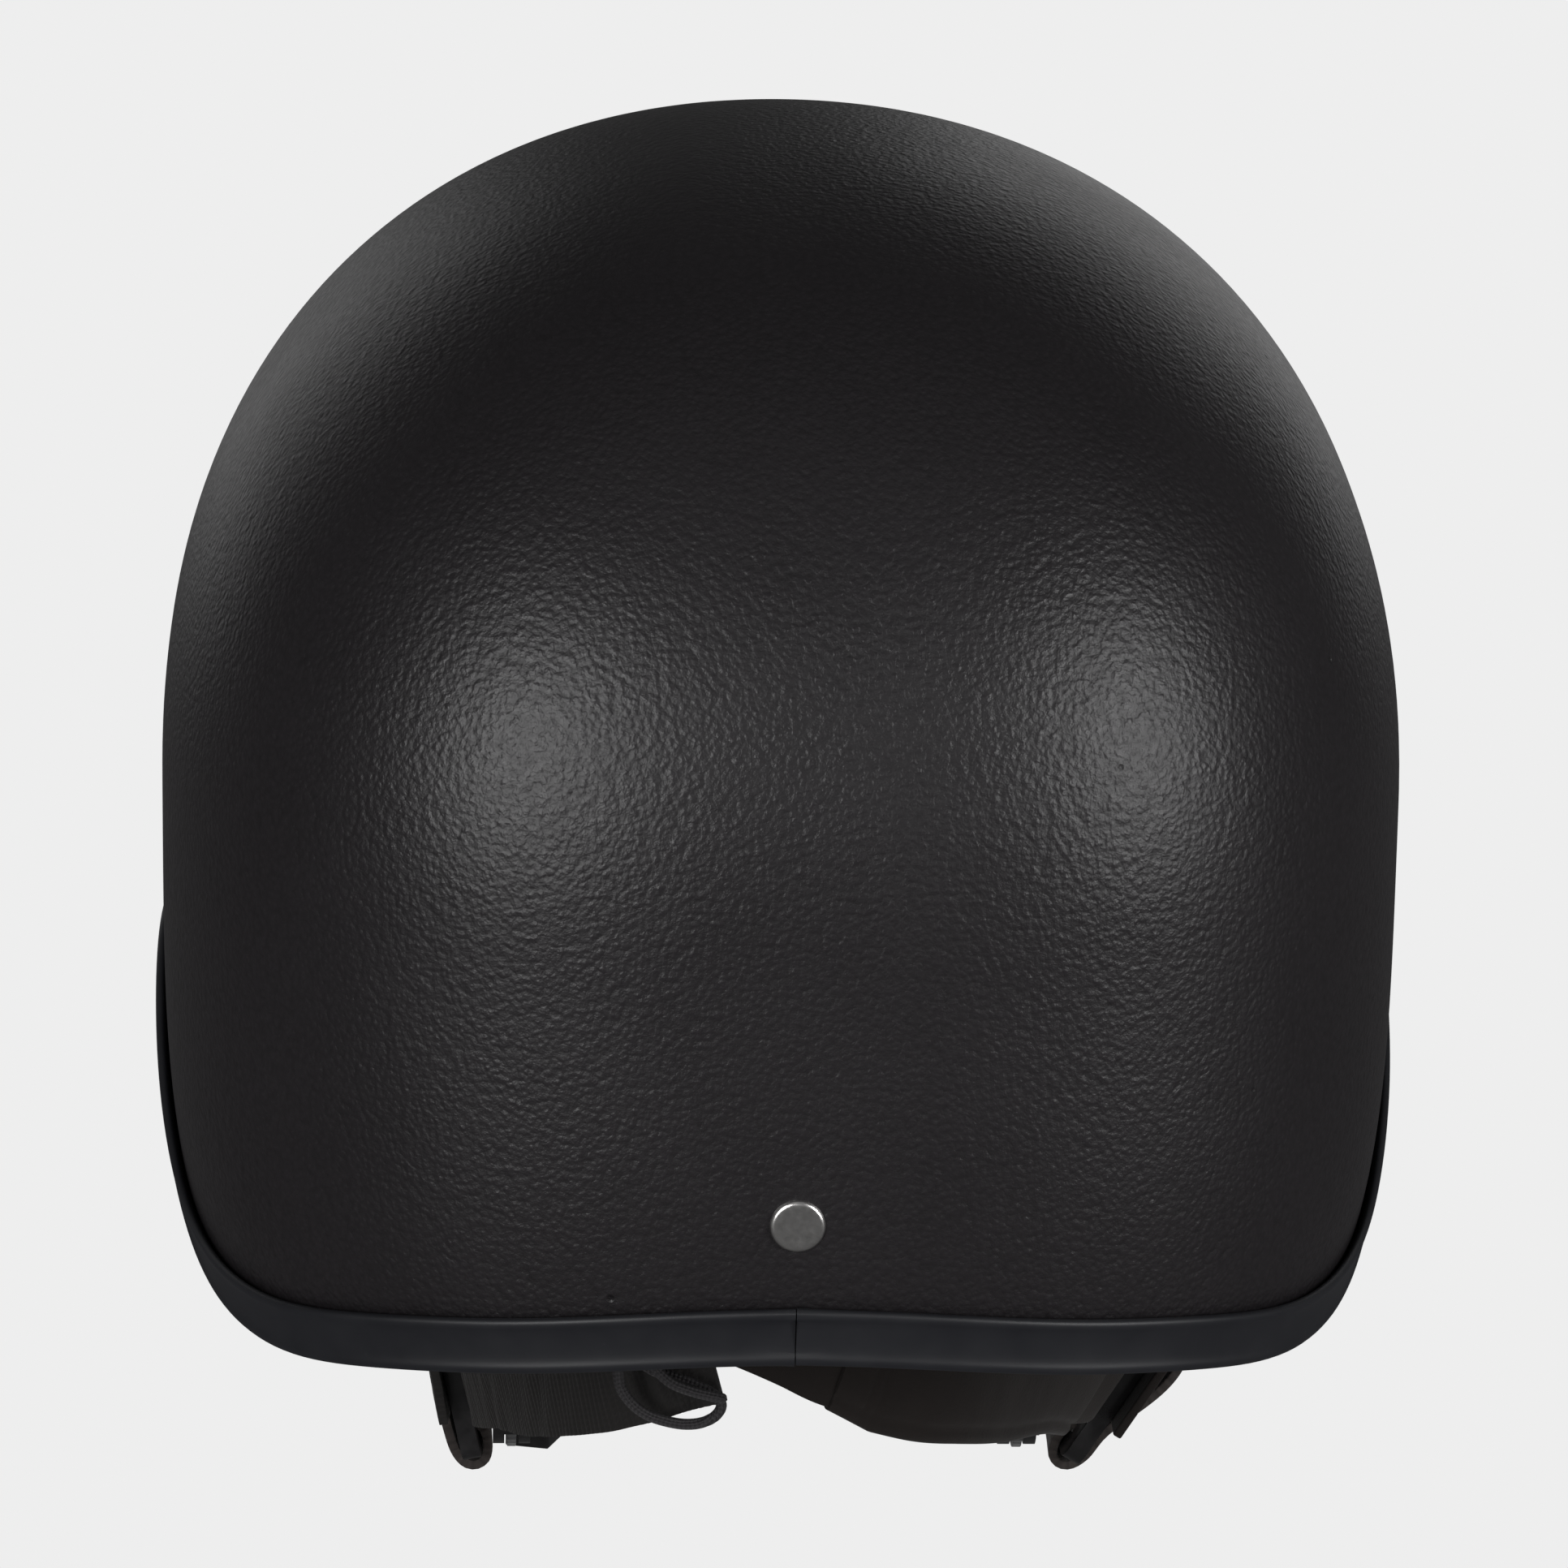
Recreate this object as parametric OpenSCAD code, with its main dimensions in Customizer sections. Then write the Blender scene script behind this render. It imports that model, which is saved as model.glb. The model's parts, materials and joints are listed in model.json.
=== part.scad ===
// Riding skull helmet: textured shell, rubber edge trim, foam liner, lining, and a three point harness.
// +X is the wearer's right, +Y is forward, +Z is up. The origin is the centre of the head opening,
// level with the lower edge of the trim at the nape.

/* [Shell] */
// Half of the shell's width at its widest level
shell_half_w = 103; // [99:1:107]
// Length from the widest line forward to the brow
shell_front = 131; // [126:1:136]
// Length from the widest line back to the nape
shell_rear = 120; // [116:1:124]
// Height of the widest level above the nape rim
widest_z = 67; // [63:1:71]
// Height of the crown above the nape rim
crown_z = 173; // [166:0.5:178]
// Thickness of the moulded shell
shell_t = 3; // [2:0.5:3]
// Part of its width that the skirt draws in at the nape rim
skirt_taper = 0.033; // [0.02:0.001:0.05]

/* [Edge trim] */
// Height of the trim's outer leg
trim_h = 10.5; // [9:0.5:12]
// How far the trim stands out from the shell
trim_proud = 2.4; // [1.5:0.1:2.6]

/* [Liner and lining] */
// Thickness of the foam liner
liner_t = 17; // [15:1:17]
// Thickness of the lining pads
pad_t = 4.5; // [3:0.5:6]
// Height of the headband
headband_h = 26; // [20:1:28]

/* [Harness] */
// Thickness of all webbing
web_t = 1.6; // [1.2:0.1:1.6]
// Width of the side straps
side_strap_w = 19; // [16:1:19]
// Width of the nape bands
nape_band_w = 22; // [18:1:22]
// Width of the padded sleeve on the right nape band
sleeve_w = 27; // [25:1:28]
// Radius of the rivets' heads
rivet_r = 4.4; // [4:0.1:5]
// Diameter of the nape lace
lace_d = 1.8; // [1.4:0.1:2]

/* [Chin strap] */
// Width of the chin webbing
chin_w = 18; // [16:1:18]
// Distance from the middle to each strap pivot
pivot_x = 44; // [43.5:0.5:44]
// Downward tilt of the chin strap, in degrees
chin_tilt = 4; // [0:1:5]
// Length of the straight webbing that carries the buckle
straight_l = 62; // [62:1:64]
// Inward angle of the straight webbing, in degrees
straight_a = 18; // [16:1:18]

/* [Hidden] */

columns = 64;
rows = 18;
top_e = 88;
skirt_angle = 40;
front_n = 2.05;
rear_n = 2.7;
crown_n = 2.23;
side_n = 2.2;
// Height of the rim line against the plan angle from the nape: nape, corner, ear arch, temple, brow
rim_line = [[0, 0], [28, -5.6], [48, -12.4], [66, -8.6], [84, 10.5], [102, 24], [126, 20], [152, 31], [180, 38]];
fit_gap = 0.3;
edge_seat = 1.6;
inner_leg_t = 1.2;
inner_leg_h = 7;
liner_d = shell_t + fit_gap;
cavity_d = liner_d + liner_t;
patch_gap = 0.4;
patch_t = 0.5;
pad_d = cavity_d + patch_t + 2 * patch_gap;
strap_d = shell_t + inner_leg_t + web_t + 0.3;
rear_rivet_z = 24.3;
rear_lean = atan(4 * skirt_taper * shell_rear * pow(1 - rear_rivet_z / widest_z, 3) / widest_z);
side_rivet_a = 24.9;
side_rivet_z = 45;
shank_r = 2;
washer_r = 6;
washer_t = 1;
pivot = [pivot_x, 12, -55];
lug_r = 8.5;
lug_t = 2;
pocket_w = 2.5;
pin_r = 1.6;
plate_t = 3.2;
plate_l = 36;
plate_w = 30;
plate_foot_z = -62;
// Slant of each divider from upright, and how far out its foot stands
right_slant = 32;
left_slant = 12;
right_foot_x = 52.5;
left_foot_x = 50.7;
eyelet_r = 2.4;
eyelet_bore = 1.45;
right_eyelet = [-1, -87.5, 2.5];
left_eyelet = [-17, -86.7, -1];

// Smooth curve through a table of [place, value], flat at both ends
function slope(t, i) = i == 0 || i == len(t) - 1 ? 0
    : (t[i + 1][1] - t[i - 1][1]) / (t[i + 1][0] - t[i - 1][0]);
function blend(t, i, x) =
    let (h = t[i + 1][0] - t[i][0], s = (x - t[i][0]) / h)
    t[i][1] * (1 - s) * (1 - s) * (1 + 2 * s) + t[i + 1][1] * s * s * (3 - 2 * s)
    + h * slope(t, i) * s * (1 - s) * (1 - s) - h * slope(t, i + 1) * s * s * (1 - s);
function smooth(t, x, i = 0) = i < len(t) - 2 && x > t[i + 1][0] ? smooth(t, x, i + 1) : blend(t, i, x);

// The dome: a is the plan angle from +X, e the level angle (0 widest, 90 crown), d the depth inwards
function from_nape(a) = let (b = (a + 450) % 360) b > 180 ? 360 - b : b;
function rim_z(a) = smooth(rim_line, from_nape(a));
function e_of_z(z) = (z / widest_z - 1) * skirt_angle;
function level_z(e, d) = e < 0 ? widest_z * (1 + e / skirt_angle)
    : widest_z + (crown_z - d - widest_z) * pow(sin(e), 2 / crown_n);
function level_scale(e) = e < 0 ? 1 - skirt_taper * pow(e / skirt_angle, 4) : pow(cos(e), 2 / side_n);
function plan_r(a, d) =
    let (n = sin(a) > 0 ? front_n : rear_n, l = (sin(a) > 0 ? shell_front : shell_rear) - d)
    pow(pow(abs(cos(a)) / (shell_half_w - d), n) + pow(abs(sin(a)) / l, n), -1 / n);
function dome(a, e, d) = let (r = level_scale(e) * plan_r(a, d)) [r * cos(a), r * sin(a), level_z(e, d)];
function at_rim(a, h, d) = dome(a, e_of_z(rim_z(a) + h), d);
function column_a(i) = -90 + i * 360 / columns;
function dome_ring(t, h, d) = [for (i = [0:columns - 1])
    let (a = column_a(i), e0 = e_of_z(rim_z(a) + h)) dome(a, e0 + (top_e - e0) * t, d)];
function rim_ring(h, d) = [for (i = [0:columns - 1]) at_rim(column_a(i), h, d)];

function unit(v) = v / norm(v);
function heading(path, i) =
    unit(path[min(i + 1, len(path) - 1)] - path[max(i - 1, 0)]);
function square_to(v, t) = unit(v - (v * t) * t);

// A closed solid through a row of matching loops of points
module skin(loops, closed = false) {
    n = len(loops[0]);
    m = len(loops);
    walls = [for (i = [0:m - (closed ? 1 : 2)], j = [0:n - 1])
        let (k = ((i + 1) % m) * n, p = i * n + j, q = i * n + (j + 1) % n, r = k + (j + 1) % n, s = k + j)
        each [[p, s, r], [p, r, q]]];
    caps = closed ? [] : [[for (j = [0:n - 1]) j], [for (j = [n - 1:-1:0]) (m - 1) * n + j]];
    polyhedron([for (l = loops) each l], concat(walls, caps));
}

// A flat strap along a path: across gives the direction of its width at each point
module strap(path, across, w, t) {
    skin([for (i = [0:len(path) - 1])
        let (f = heading(path, i), a = square_to(across[i], f) * w / 2, b = unit(cross(f, a)) * t / 2)
        [path[i] - a - b, path[i] + a - b, path[i] + a + b, path[i] - a + b]]);
}

// A round cord along a path; side is any direction that the path never runs along
module cord(path, d, side, sides = 8) {
    skin([for (i = [0:len(path) - 1])
        let (f = heading(path, i), a = square_to(side, f), b = cross(f, a))
        [for (k = [0:sides - 1]) path[i] + (a * cos(k * 360 / sides) + b * sin(k * 360 / sides)) * d / 2]]);
}

// Part of the lining between two plan angles: low and high are level angles
module lining_patch(a0, a1, low, high, d, t, cols = 8, levels = 6) {
    skin([for (i = [0:cols])
        let (a = a0 + (a1 - a0) * i / cols)
        concat(
            [for (j = [0:levels]) dome(a, low + (high - low) * j / levels, d + t)],
            [for (j = [levels:-1:0]) dome(a, low + (high - low) * j / levels, d)])]);
}

// Part of the headband between two plan angles, standing h0 above the rim
module headband_patch(a0, a1, h0, cols) {
    skin([for (i = [0:cols])
        let (a = a0 + (a1 - a0) * i / cols)
        concat(
            [for (j = [0:3]) at_rim(a, h0 + headband_h * j / 3, pad_d + pad_t)],
            [for (j = [3:-1:0]) at_rim(a, h0 + headband_h * j / 3, pad_d)])]);
}

module rounded_plate(w, l, r) {
    translate([-w / 2 + r, 0]) square([w - 2 * r, l]);
    translate([-w / 2, r]) square([w, l - 2 * r]);
    for (x = [-w / 2 + r, w / 2 - r], y = [r, l - r]) translate([x, y]) circle(r, $fn = 32);
}

// Moves a rivet's own frame, +Z outwards, to the shell's rear or side
module rear_place() {
    translate(dome(-90, e_of_z(rear_rivet_z), 0)) rotate([90 + rear_lean, 0, 0]) children();
}
module side_place() {
    translate(dome(side_rivet_a, e_of_z(side_rivet_z), 0)) rotate([0, 0, 15]) rotate([0, 90, 0]) children();
}

module rivet() {
    ball_r = 6;
    head_h = 2.4;
    intersection() {
        translate([0, 0, head_h - ball_r]) sphere(ball_r, $fn = 64);
        translate([0, 0, 0.1]) cylinder(r = rivet_r, h = head_h, $fn = 64);
    }
    translate([0, 0, -8.4]) cylinder(r = shank_r, h = 8.6, $fn = 32);
    translate([0, 0, -9.2]) cylinder(r = 3.4, h = 0.9, $fn = 32);
}

module washer() {
    translate([0, 0, -8.2]) difference() {
        cylinder(r = washer_r, h = washer_t, $fn = 48);
        translate([0, 0, -1]) cylinder(r = shank_r + 0.05, h = washer_t + 2, $fn = 32);
    }
}

module rivet_hole() {
    translate([0, 0, -12]) cylinder(r = shank_r + 0.15, h = 20, $fn = 32);
}

module rivet_pocket() {
    translate([0, 0, -10.2]) cylinder(r = washer_r + 1, h = 12, $fn = 48);
}

// Paths of the straps. The left side is given as if it were on the right, and is then mirrored.
rear_tab_path = [
    [0, -113.8, 33], [0, -113.6, 24.3], [0, -112.8, 12], [0, -111.2, 3], [0, -109.6, -0.8],
    [0, -105.5, -2], [0, -95, -2], [0, -91, -2.6], [0, -89.5, -4.5], [0, -89.4, -9]
];
function wall(a, z) = dome(a, e_of_z(z), strap_d);
strap_top = [wall(26.3, 54), wall(24.9, 45), wall(23, 34), wall(21, 23)];
right_strap_run = [[88.8, 35, 8], [85, 29, -14], [78, 22, -35], [70.5, 15.5, -49.5]];
left_strap_run = [[86.5, 34, 8], [78, 28, -15], [66.2, 21, -36], [57.8, 15, -48]];
right_band_run = [
    [-6, -87.5, -0.4], [4, -87.5, -4.8], [10, -86, -8], [23, -79.5, -13.5], [31, -70, -17.5],
    [40, -52, -24.5], [49.6, -32, -31.5], [56.5, -16, -39]
];
left_band_run = [
    [13, -87, -7], [19.5, -86.5, -8.7], [25, -84, -11.2], [30, -79, -14.4], [37, -68, -19.5],
    [43.8, -52, -25.8], [48.6, -36, -31], [52, -16, -38.5]
];
band_lean = [0, 0, 0, 0, 0, 6, 15, 25];

// The divider's plate has its own frame: y forwards, u up along the plate, n outwards from it
function plate_point(foot_x, slant, y, u, n) =
    [foot_x + u * sin(slant) + n * cos(slant), y, plate_foot_z + u * cos(slant) - n * sin(slant)];
function plate_up(slant) = [sin(slant), 0, cos(slant)];
function run_lean(slant) = [for (a = band_lean) plate_up(min(a, slant))];

// The strap folds under the divider's foot, and the nape band folds round its rear bar
foot_fold = [[3.4, 6], [2.9, 1], [1.7, -1.6], [0, -2.4], [-1.8, -1.6], [-2.8, 1], [-2.7, 3.4], [-1.4, 5.5], [0.4, 5.8]];
bar_fold = [[-6, -2.8], [0.3, -2.8], [2.4, -2.3], [3.2, -0.9], [3.2, 0.9], [2.4, 2.3], [0.3, 2.8], [-8, 2.8]];
band_mid_u = 21;
strap_mid_y = 12;

function strap_path(run, foot_x, slant) = concat(strap_top, run,
    [for (p = foot_fold) plate_point(foot_x, slant, strap_mid_y, p[1], p[0])]);
function strap_across() = [for (i = [0:len(strap_top) + len(right_strap_run) + len(foot_fold) - 1])
    i < len(strap_top) ? [-0.26, 1, 0] : [0, 1, 0]];
function band_path(run, foot_x, slant) = concat(run,
    [for (p = bar_fold) plate_point(foot_x, slant, p[0], band_mid_u, p[1])]);
function band_across(slant) = concat(run_lean(slant), [for (p = bar_fold) plate_up(slant)]);

// The lace: out of its free end, through the left eyelet, across behind, out of the right eyelet,
// back over to the left, and down into the hanging loop
lace_route = [
    [-9.8, -94, -14.7], [-12.5, -93.6, -14.2], [-16, -93.4, -13.3], [-19, -93.2, -12], [-21.5, -92.8, -9.5],
    [-22.5, -92.2, -6], [-21.5, -91, -3], [-18.6, -90, -1.4], [-17, -88.5, -1], [-17, -85.2, -1],
    [-15.9, -83.6, -0.8], [-13.2, -83.3, 0], [-10, -83.7, 1], [-6, -84, 2], [-3, -84.1, 2.4],
    [-1, -85.5, 2.5], [-1, -88.8, 2.5], [-2, -90.6, 3], [-5, -91, 4.4], [-9, -91, 6], [-14, -91, 6.6],
    [-19, -91, 5.6], [-23.5, -91, 2.5], [-26.5, -91, -2], [-27.4, -91, -6.5], [-27.4, -91, -10.5],
    [-26.9, -91.2, -13.7], [-25, -91.6, -16.4], [-22.5, -91.8, -18.2], [-19.5, -92, -19.2],
    [-16.5, -92, -19.7], [-13.8, -92, -19.4], [-11.6, -92, -18.2], [-10.7, -91.8, -16.4],
    [-12.2, -91.2, -14.7], [-15, -90.6, -13.4], [-18, -90.2, -12.4], [-21.5, -90, -11.3], [-24, -90, -9.6]
];
lace_side = [0.35, 0.1, 0.3];

// The chin strap's own frame: origin midway between the pivots, +Y along the tilted strap
elbow_y = 8;
straight_start = [pivot_x, elbow_y];
straight_dir = [-sin(straight_a), cos(straight_a)];
straight_end = straight_start + straight_l * straight_dir;
arc_r = straight_end[0] / cos(straight_a);
arc_y = straight_end[1] - arc_r * sin(straight_a);
web_end_r = chin_w / 2;
arc_steps = 24;
socket_l = 25;
socket_s = 3;
mouth_s = socket_s + socket_l;
buckle_h = 26;
buckle_t = 8;
buckle_shift = 1.8;
plug_l = 16;
cover_gap = 0.3;
tongue_h = 5.4;
prong_root_s = mouth_s + 3.4;
prong_root_h = 8.2;
prong_r = 1.8;
barb_reach = 12.2;

module chin_frame() {
    translate([0, pivot[1], pivot[2]]) rotate([-chin_tilt, 0, 0]) children();
}

// The straight webbing's frame on the right: +Y along the webbing towards the chin, +X outwards
module right_straight() {
    chin_frame() translate([straight_start[0], straight_start[1], 0]) rotate([0, 0, straight_a]) children();
}
module left_straight() {
    mirror([1, 0, 0]) right_straight() children();
}

// Outline of the webbing from y0 behind the pivot, round the chin to the angle last on the arc
function web_line(y0, last) = concat([[pivot_x, y0], straight_start],
    [for (i = [0:arc_steps]) let (a = straight_a + (last - straight_a) * i / arc_steps)
        [arc_r * cos(a), arc_y + arc_r * sin(a)]]);
function side_line(line, d) = [for (i = [0:len(line) - 1])
    let (h = heading(line, i)) line[i] + d * [h[1], -h[0]]];

module round_web_end() {
    rotate([0, 90, 0]) cylinder(r = web_end_r, h = 2 * pivot_x + 20, center = true, $fn = 64);
    translate([-100, 0, -chin_w]) cube([200, 200, 2 * chin_w]);
}

module pin_hole(r) {
    rotate([0, 90, 0]) cylinder(r = r, h = 2 * pivot_x + 20, center = true, $fn = 48);
}

module outer_shell() {
    color("#2b2927") difference() {
        skin(concat(
            [for (j = [rows:-1:0]) dome_ring(j / rows, edge_seat, shell_t)],
            [for (j = [0:rows]) dome_ring(j / rows, edge_seat, 0)]));
        rear_place() rivet_hole();
        side_place() rivet_hole();
        mirror([1, 0, 0]) side_place() rivet_hole();
    }
}

module edge_trim() {
    bead = 0.7;
    seat_d = shell_t + 0.26;
    grip = -0.36;
    skirt = trim_proud - bead;
    outline = [
        [seat_d + 0.4, 0], [seat_d + inner_leg_t, 0.8], [seat_d + inner_leg_t, inner_leg_h],
        [seat_d, inner_leg_h], [seat_d, edge_seat - 0.2], [grip, edge_seat - 0.2],
        [grip, trim_h], [-skirt, trim_h], [-trim_proud, trim_h - 0.6], [-trim_proud, trim_h - 1.6],
        [-skirt, trim_h - 2.4], [-skirt, 2.7], [-trim_proud, 1.9], [-trim_proud, 0.8], [-trim_proud * 0.6, 0]
    ];
    join_a = 0.1;
    color("#26272b") skin([for (i = [0:columns])
        let (a = -90 + join_a + i * (360 - 2 * join_a) / columns) [for (p = outline) at_rim(a, p[1], p[0])]]);
}

module foam_liner() {
    seat_d = shell_t + inner_leg_t + 0.5;
    color("#3a3a3c") difference() {
        skin(concat(
            [for (j = [rows:-1:1]) dome_ring(j / rows, 9, cavity_d)],
            [rim_ring(5, cavity_d), rim_ring(2.2, cavity_d - 2.5),
                rim_ring(2.2, seat_d), rim_ring(7.6, seat_d), rim_ring(8.4, liner_d)],
            [for (j = [1:rows]) dome_ring(j / rows, 9, liner_d)]));
        rear_place() rivet_pocket();
        side_place() rivet_pocket();
        mirror([1, 0, 0]) side_place() rivet_pocket();
        strap([for (p = rear_tab_path) p[2] > -2 ? p : p - [0, 0, 1]], [for (p = rear_tab_path) [1, 0, 0]], 21, 4);
        for (m = [0, 1]) mirror([m, 0, 0])
            strap(concat([wall(28, 62)], strap_top, [wall(18, 10)]), [for (i = [0:5]) [-0.26, 1, 0]],
                side_strap_w + 3, 4);
    }
}

module crown_pad() {
    levels = [57, 64, 72, 80, top_e];
    color("#1d1d20") skin(concat(
        [for (j = [len(levels) - 1:-1:0])
            [for (i = [0:2:columns - 1]) dome(column_a(i), levels[j], pad_d + pad_t)]],
        [for (e = levels) [for (i = [0:2:columns - 1]) dome(column_a(i), e, pad_d)]]));
}

module lining_pad(mid, half) {
    color("#1d1d20") lining_patch(mid - half, mid + half, 8, 52, pad_d, pad_t);
}
module lining_pad_front() { lining_pad(90, 26); }
module lining_pad_rear() { lining_pad(-90, 26); }
module lining_pad_left() { lining_pad(180, 30); }
module lining_pad_right() { lining_pad(0, 30); }

module headband_front() {
    color("#242328") headband_patch(8, 172, 4, 32);
}
module headband_rear() {
    color("#242328") headband_patch(-148, -32, 16, 24);
}

module hook_patches() {
    color("#101010") {
        for (a = [0:90:270], e = [18, 40])
            lining_patch(a - 6, a + 6, e - 4, e + 4, cavity_d + patch_gap, patch_t, 3, 3);
        for (a = [45:90:315])
            lining_patch(a - 14, a + 14, 62, 70, cavity_d + patch_gap, patch_t, 3, 3);
        for (a = [30, 60, 90, 120, 150, 240, 270, 300])
            lining_patch(a - 5, a + 5, -14, -8, cavity_d + patch_gap, patch_t, 3, 3);
    }
}

module rear_rivet() {
    color("silver") rear_place() rivet();
}
module side_rivet_right() {
    color("silver") side_place() rivet();
}
module side_rivet_left() {
    color("silver") mirror([1, 0, 0]) side_place() rivet();
}
module rivet_washers() {
    color("gray") {
        rear_place() washer();
        side_place() washer();
        mirror([1, 0, 0]) side_place() washer();
    }
}

module rear_tab() {
    color("#1c1b1b") difference() {
        strap(rear_tab_path, [for (p = rear_tab_path) [1, 0, 0]], 18, web_t);
        rear_place() rivet_hole();
    }
}

module side_strap(run, foot_x, slant) {
    color("#5b504a") difference() {
        strap(strap_path(run, foot_x, slant), strap_across(), side_strap_w, web_t);
        side_place() rivet_hole();
    }
}
module side_strap_right() { side_strap(right_strap_run, right_foot_x, right_slant); }
module side_strap_left() { mirror([1, 0, 0]) side_strap(left_strap_run, left_foot_x, left_slant); }

module eyelet_hole(p, r) {
    translate(p) rotate([90, 0, 0]) cylinder(r = r, h = 6, center = true, $fn = 32);
}

module nape_band_right() {
    color("#4b4541") difference() {
        strap(band_path(right_band_run, right_foot_x, right_slant), band_across(right_slant), nape_band_w, web_t);
        eyelet_hole(right_eyelet, 1.85);
    }
}
module nape_band_left() {
    color("#3f3936") difference() {
        mirror([1, 0, 0])
            strap(band_path(left_band_run, left_foot_x, left_slant), band_across(left_slant), nape_band_w, web_t);
        eyelet_hole(left_eyelet, 1.85);
    }
}

module nape_sleeve() {
    path = [for (i = [2:len(right_band_run) - 1]) right_band_run[i]];
    lean = [for (i = [2:len(right_band_run) - 1]) run_lean(right_slant)[i]];
    past = concat([right_band_run[1]], path, [plate_point(right_foot_x, right_slant, -6, band_mid_u, -2.8)]);
    past_lean = concat([lean[0]], lean, [plate_up(right_slant)]);
    color("#514b48") difference() {
        strap(path, lean, sleeve_w, 5.4);
        strap(past, past_lean, nape_band_w + 0.6, web_t + 0.6);
    }
}

module lace_eyelets() {
    color("#1a1a1a") for (p = [right_eyelet, left_eyelet]) translate(p) rotate([90, 0, 0]) difference() {
        union() {
            cylinder(r = 1.75, h = web_t + 1.8, center = true, $fn = 32);
            for (s = [-1, 1]) translate([0, 0, s * (web_t / 2 + 0.9)])
                cylinder(r = eyelet_r, h = 0.6, center = true, $fn = 32);
        }
        cylinder(r = eyelet_bore, h = 8, center = true, $fn = 32);
    }
}

module nape_lace() {
    color("#111111") cord(lace_route, lace_d, lace_side);
}

// One divider: a slotted plate, and two lugs for the pivot pin on its inner side
module ear_divider(foot_x, slant) {
    difference() {
        union() {
            translate([foot_x, strap_mid_y, plate_foot_z]) rotate([0, slant, 0])
                rotate([90, 0, 90]) translate([0, 0, -plate_t / 2]) linear_extrude(plate_t)
                    rounded_plate(plate_w, plate_l, 3);
            for (x = [pivot_x - pocket_w / 2 - lug_t, pivot_x + pocket_w / 2])
                translate([x, pivot[1], pivot[2]]) lug();
            translate([pivot_x - pocket_w / 2 - lug_t, pivot[1] - 14, pivot[2] - 2])
                cube([pocket_w + 2 * lug_t, 3.6, lug_r + 2]);
            translate([pivot_x + pocket_w / 2, strap_mid_y, pivot[2] + 4.5]) rotate([0, 90, 0])
                cylinder(r = 4.4, h = foot_x - pivot_x + 10 * tan(slant) - 1, $fn = 48);
        }
        translate([foot_x, strap_mid_y, plate_foot_z]) rotate([0, slant, 0]) rotate([90, 0, 90])
            translate([0, 0, -plate_t]) linear_extrude(2 * plate_t) {
                translate([-side_strap_w / 2 - 0.6, 3.8]) square([side_strap_w + 1.2, 4]);
                translate([-plate_w / 2 + 4, band_mid_u - nape_band_w / 2 - 0.3]) square([4.4, nape_band_w + 0.6]);
            }
        translate(pivot) rotate([0, 90, 0]) cylinder(r = pin_r + 0.02, h = 14, center = true, $fn = 48);
    }
}

module lug() {
    rotate([0, 90, 0]) cylinder(r = lug_r, h = lug_t, $fn = 64);
    translate([0, -14, -2]) cube([lug_t, 14, lug_r + 2]);
}

module ear_divider_right() {
    color("#0c0c0c") ear_divider(right_foot_x, right_slant);
}
module ear_divider_left() {
    color("#0c0c0c") mirror([1, 0, 0]) ear_divider(left_foot_x, left_slant);
}

module pivot_pin() {
    head_x = pocket_w / 2 + lug_t;
    translate(pivot) rotate([0, 90, 0]) {
        translate([0, 0, -head_x - 0.5]) cylinder(r = pin_r, h = 2 * head_x + 0.5, $fn = 48);
        translate([0, 0, -head_x - 0.9]) cylinder(r = 3, h = 0.9, $fn = 48);
    }
}
module pivot_pin_right() { color("dimgray") pivot_pin(); }
module pivot_pin_left() { color("dimgray") mirror([1, 0, 0]) pivot_pin(); }

module chin_web_left() {
    end_s = socket_s + 8;
    line = [[pivot_x, -web_end_r], straight_start, straight_start + end_s * straight_dir];
    color("#151515") mirror([1, 0, 0]) chin_frame() difference() {
        intersection() {
            linear_extrude(chin_w, center = true)
                polygon(concat(side_line(line, web_t / 2), [for (i = [2:-1:0]) side_line(line, -web_t / 2)[i]]));
            round_web_end();
        }
        pin_hole(pin_r + 0.06);
    }
}

module chin_web_right() {
    tail_s = 12;
    tail_l = 38;
    line = web_line(-web_end_r, 180 - straight_a);
    full = concat(line, [[-straight_end[0], straight_end[1]]
        + (straight_l - mouth_s - 4.5) * [-sin(straight_a), -cos(straight_a)]]);
    last = len(full) - 1;
    color("#151515") {
        chin_frame() difference() {
            intersection() {
                linear_extrude(chin_w, center = true)
                    polygon(concat(side_line(full, web_t / 2), [for (i = [last:-1:0]) side_line(full, -web_t / 2)[i]]));
                round_web_end();
            }
            pin_hole(pin_r + 0.06);
        }
        right_straight() translate([web_t / 2 - 0.1, tail_s, -chin_w / 2]) cube([web_t + 0.1, tail_l, chin_w]);
    }
}

// The buckle lies on the left straight; its middle plane sits inwards of the webbing
module buckle_socket() {
    cavity_s = 10.2;
    wall_t = 2.2;
    color("#0a0a0a") left_straight() translate([-buckle_shift, socket_s, 0]) difference() {
        translate([-buckle_t / 2, 0, -buckle_h / 2]) cube([buckle_t, socket_l, buckle_h]);
        translate([-buckle_t / 2 + 1.3, cavity_s, -buckle_h / 2 + wall_t])
            cube([buckle_t - 2.6, socket_l, buckle_h - 2 * wall_t]);
        translate([-buckle_t / 2 + 1.3, cavity_s + 2.2, -buckle_h]) cube([buckle_t - 2.6, 8.6, 2 * buckle_h]);
        translate([buckle_shift - web_t / 2 - 0.2, -1, -chin_w / 2 - 0.2]) cube([web_t + 0.4, 9.6, chin_w + 0.4]);
    }
}

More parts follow.
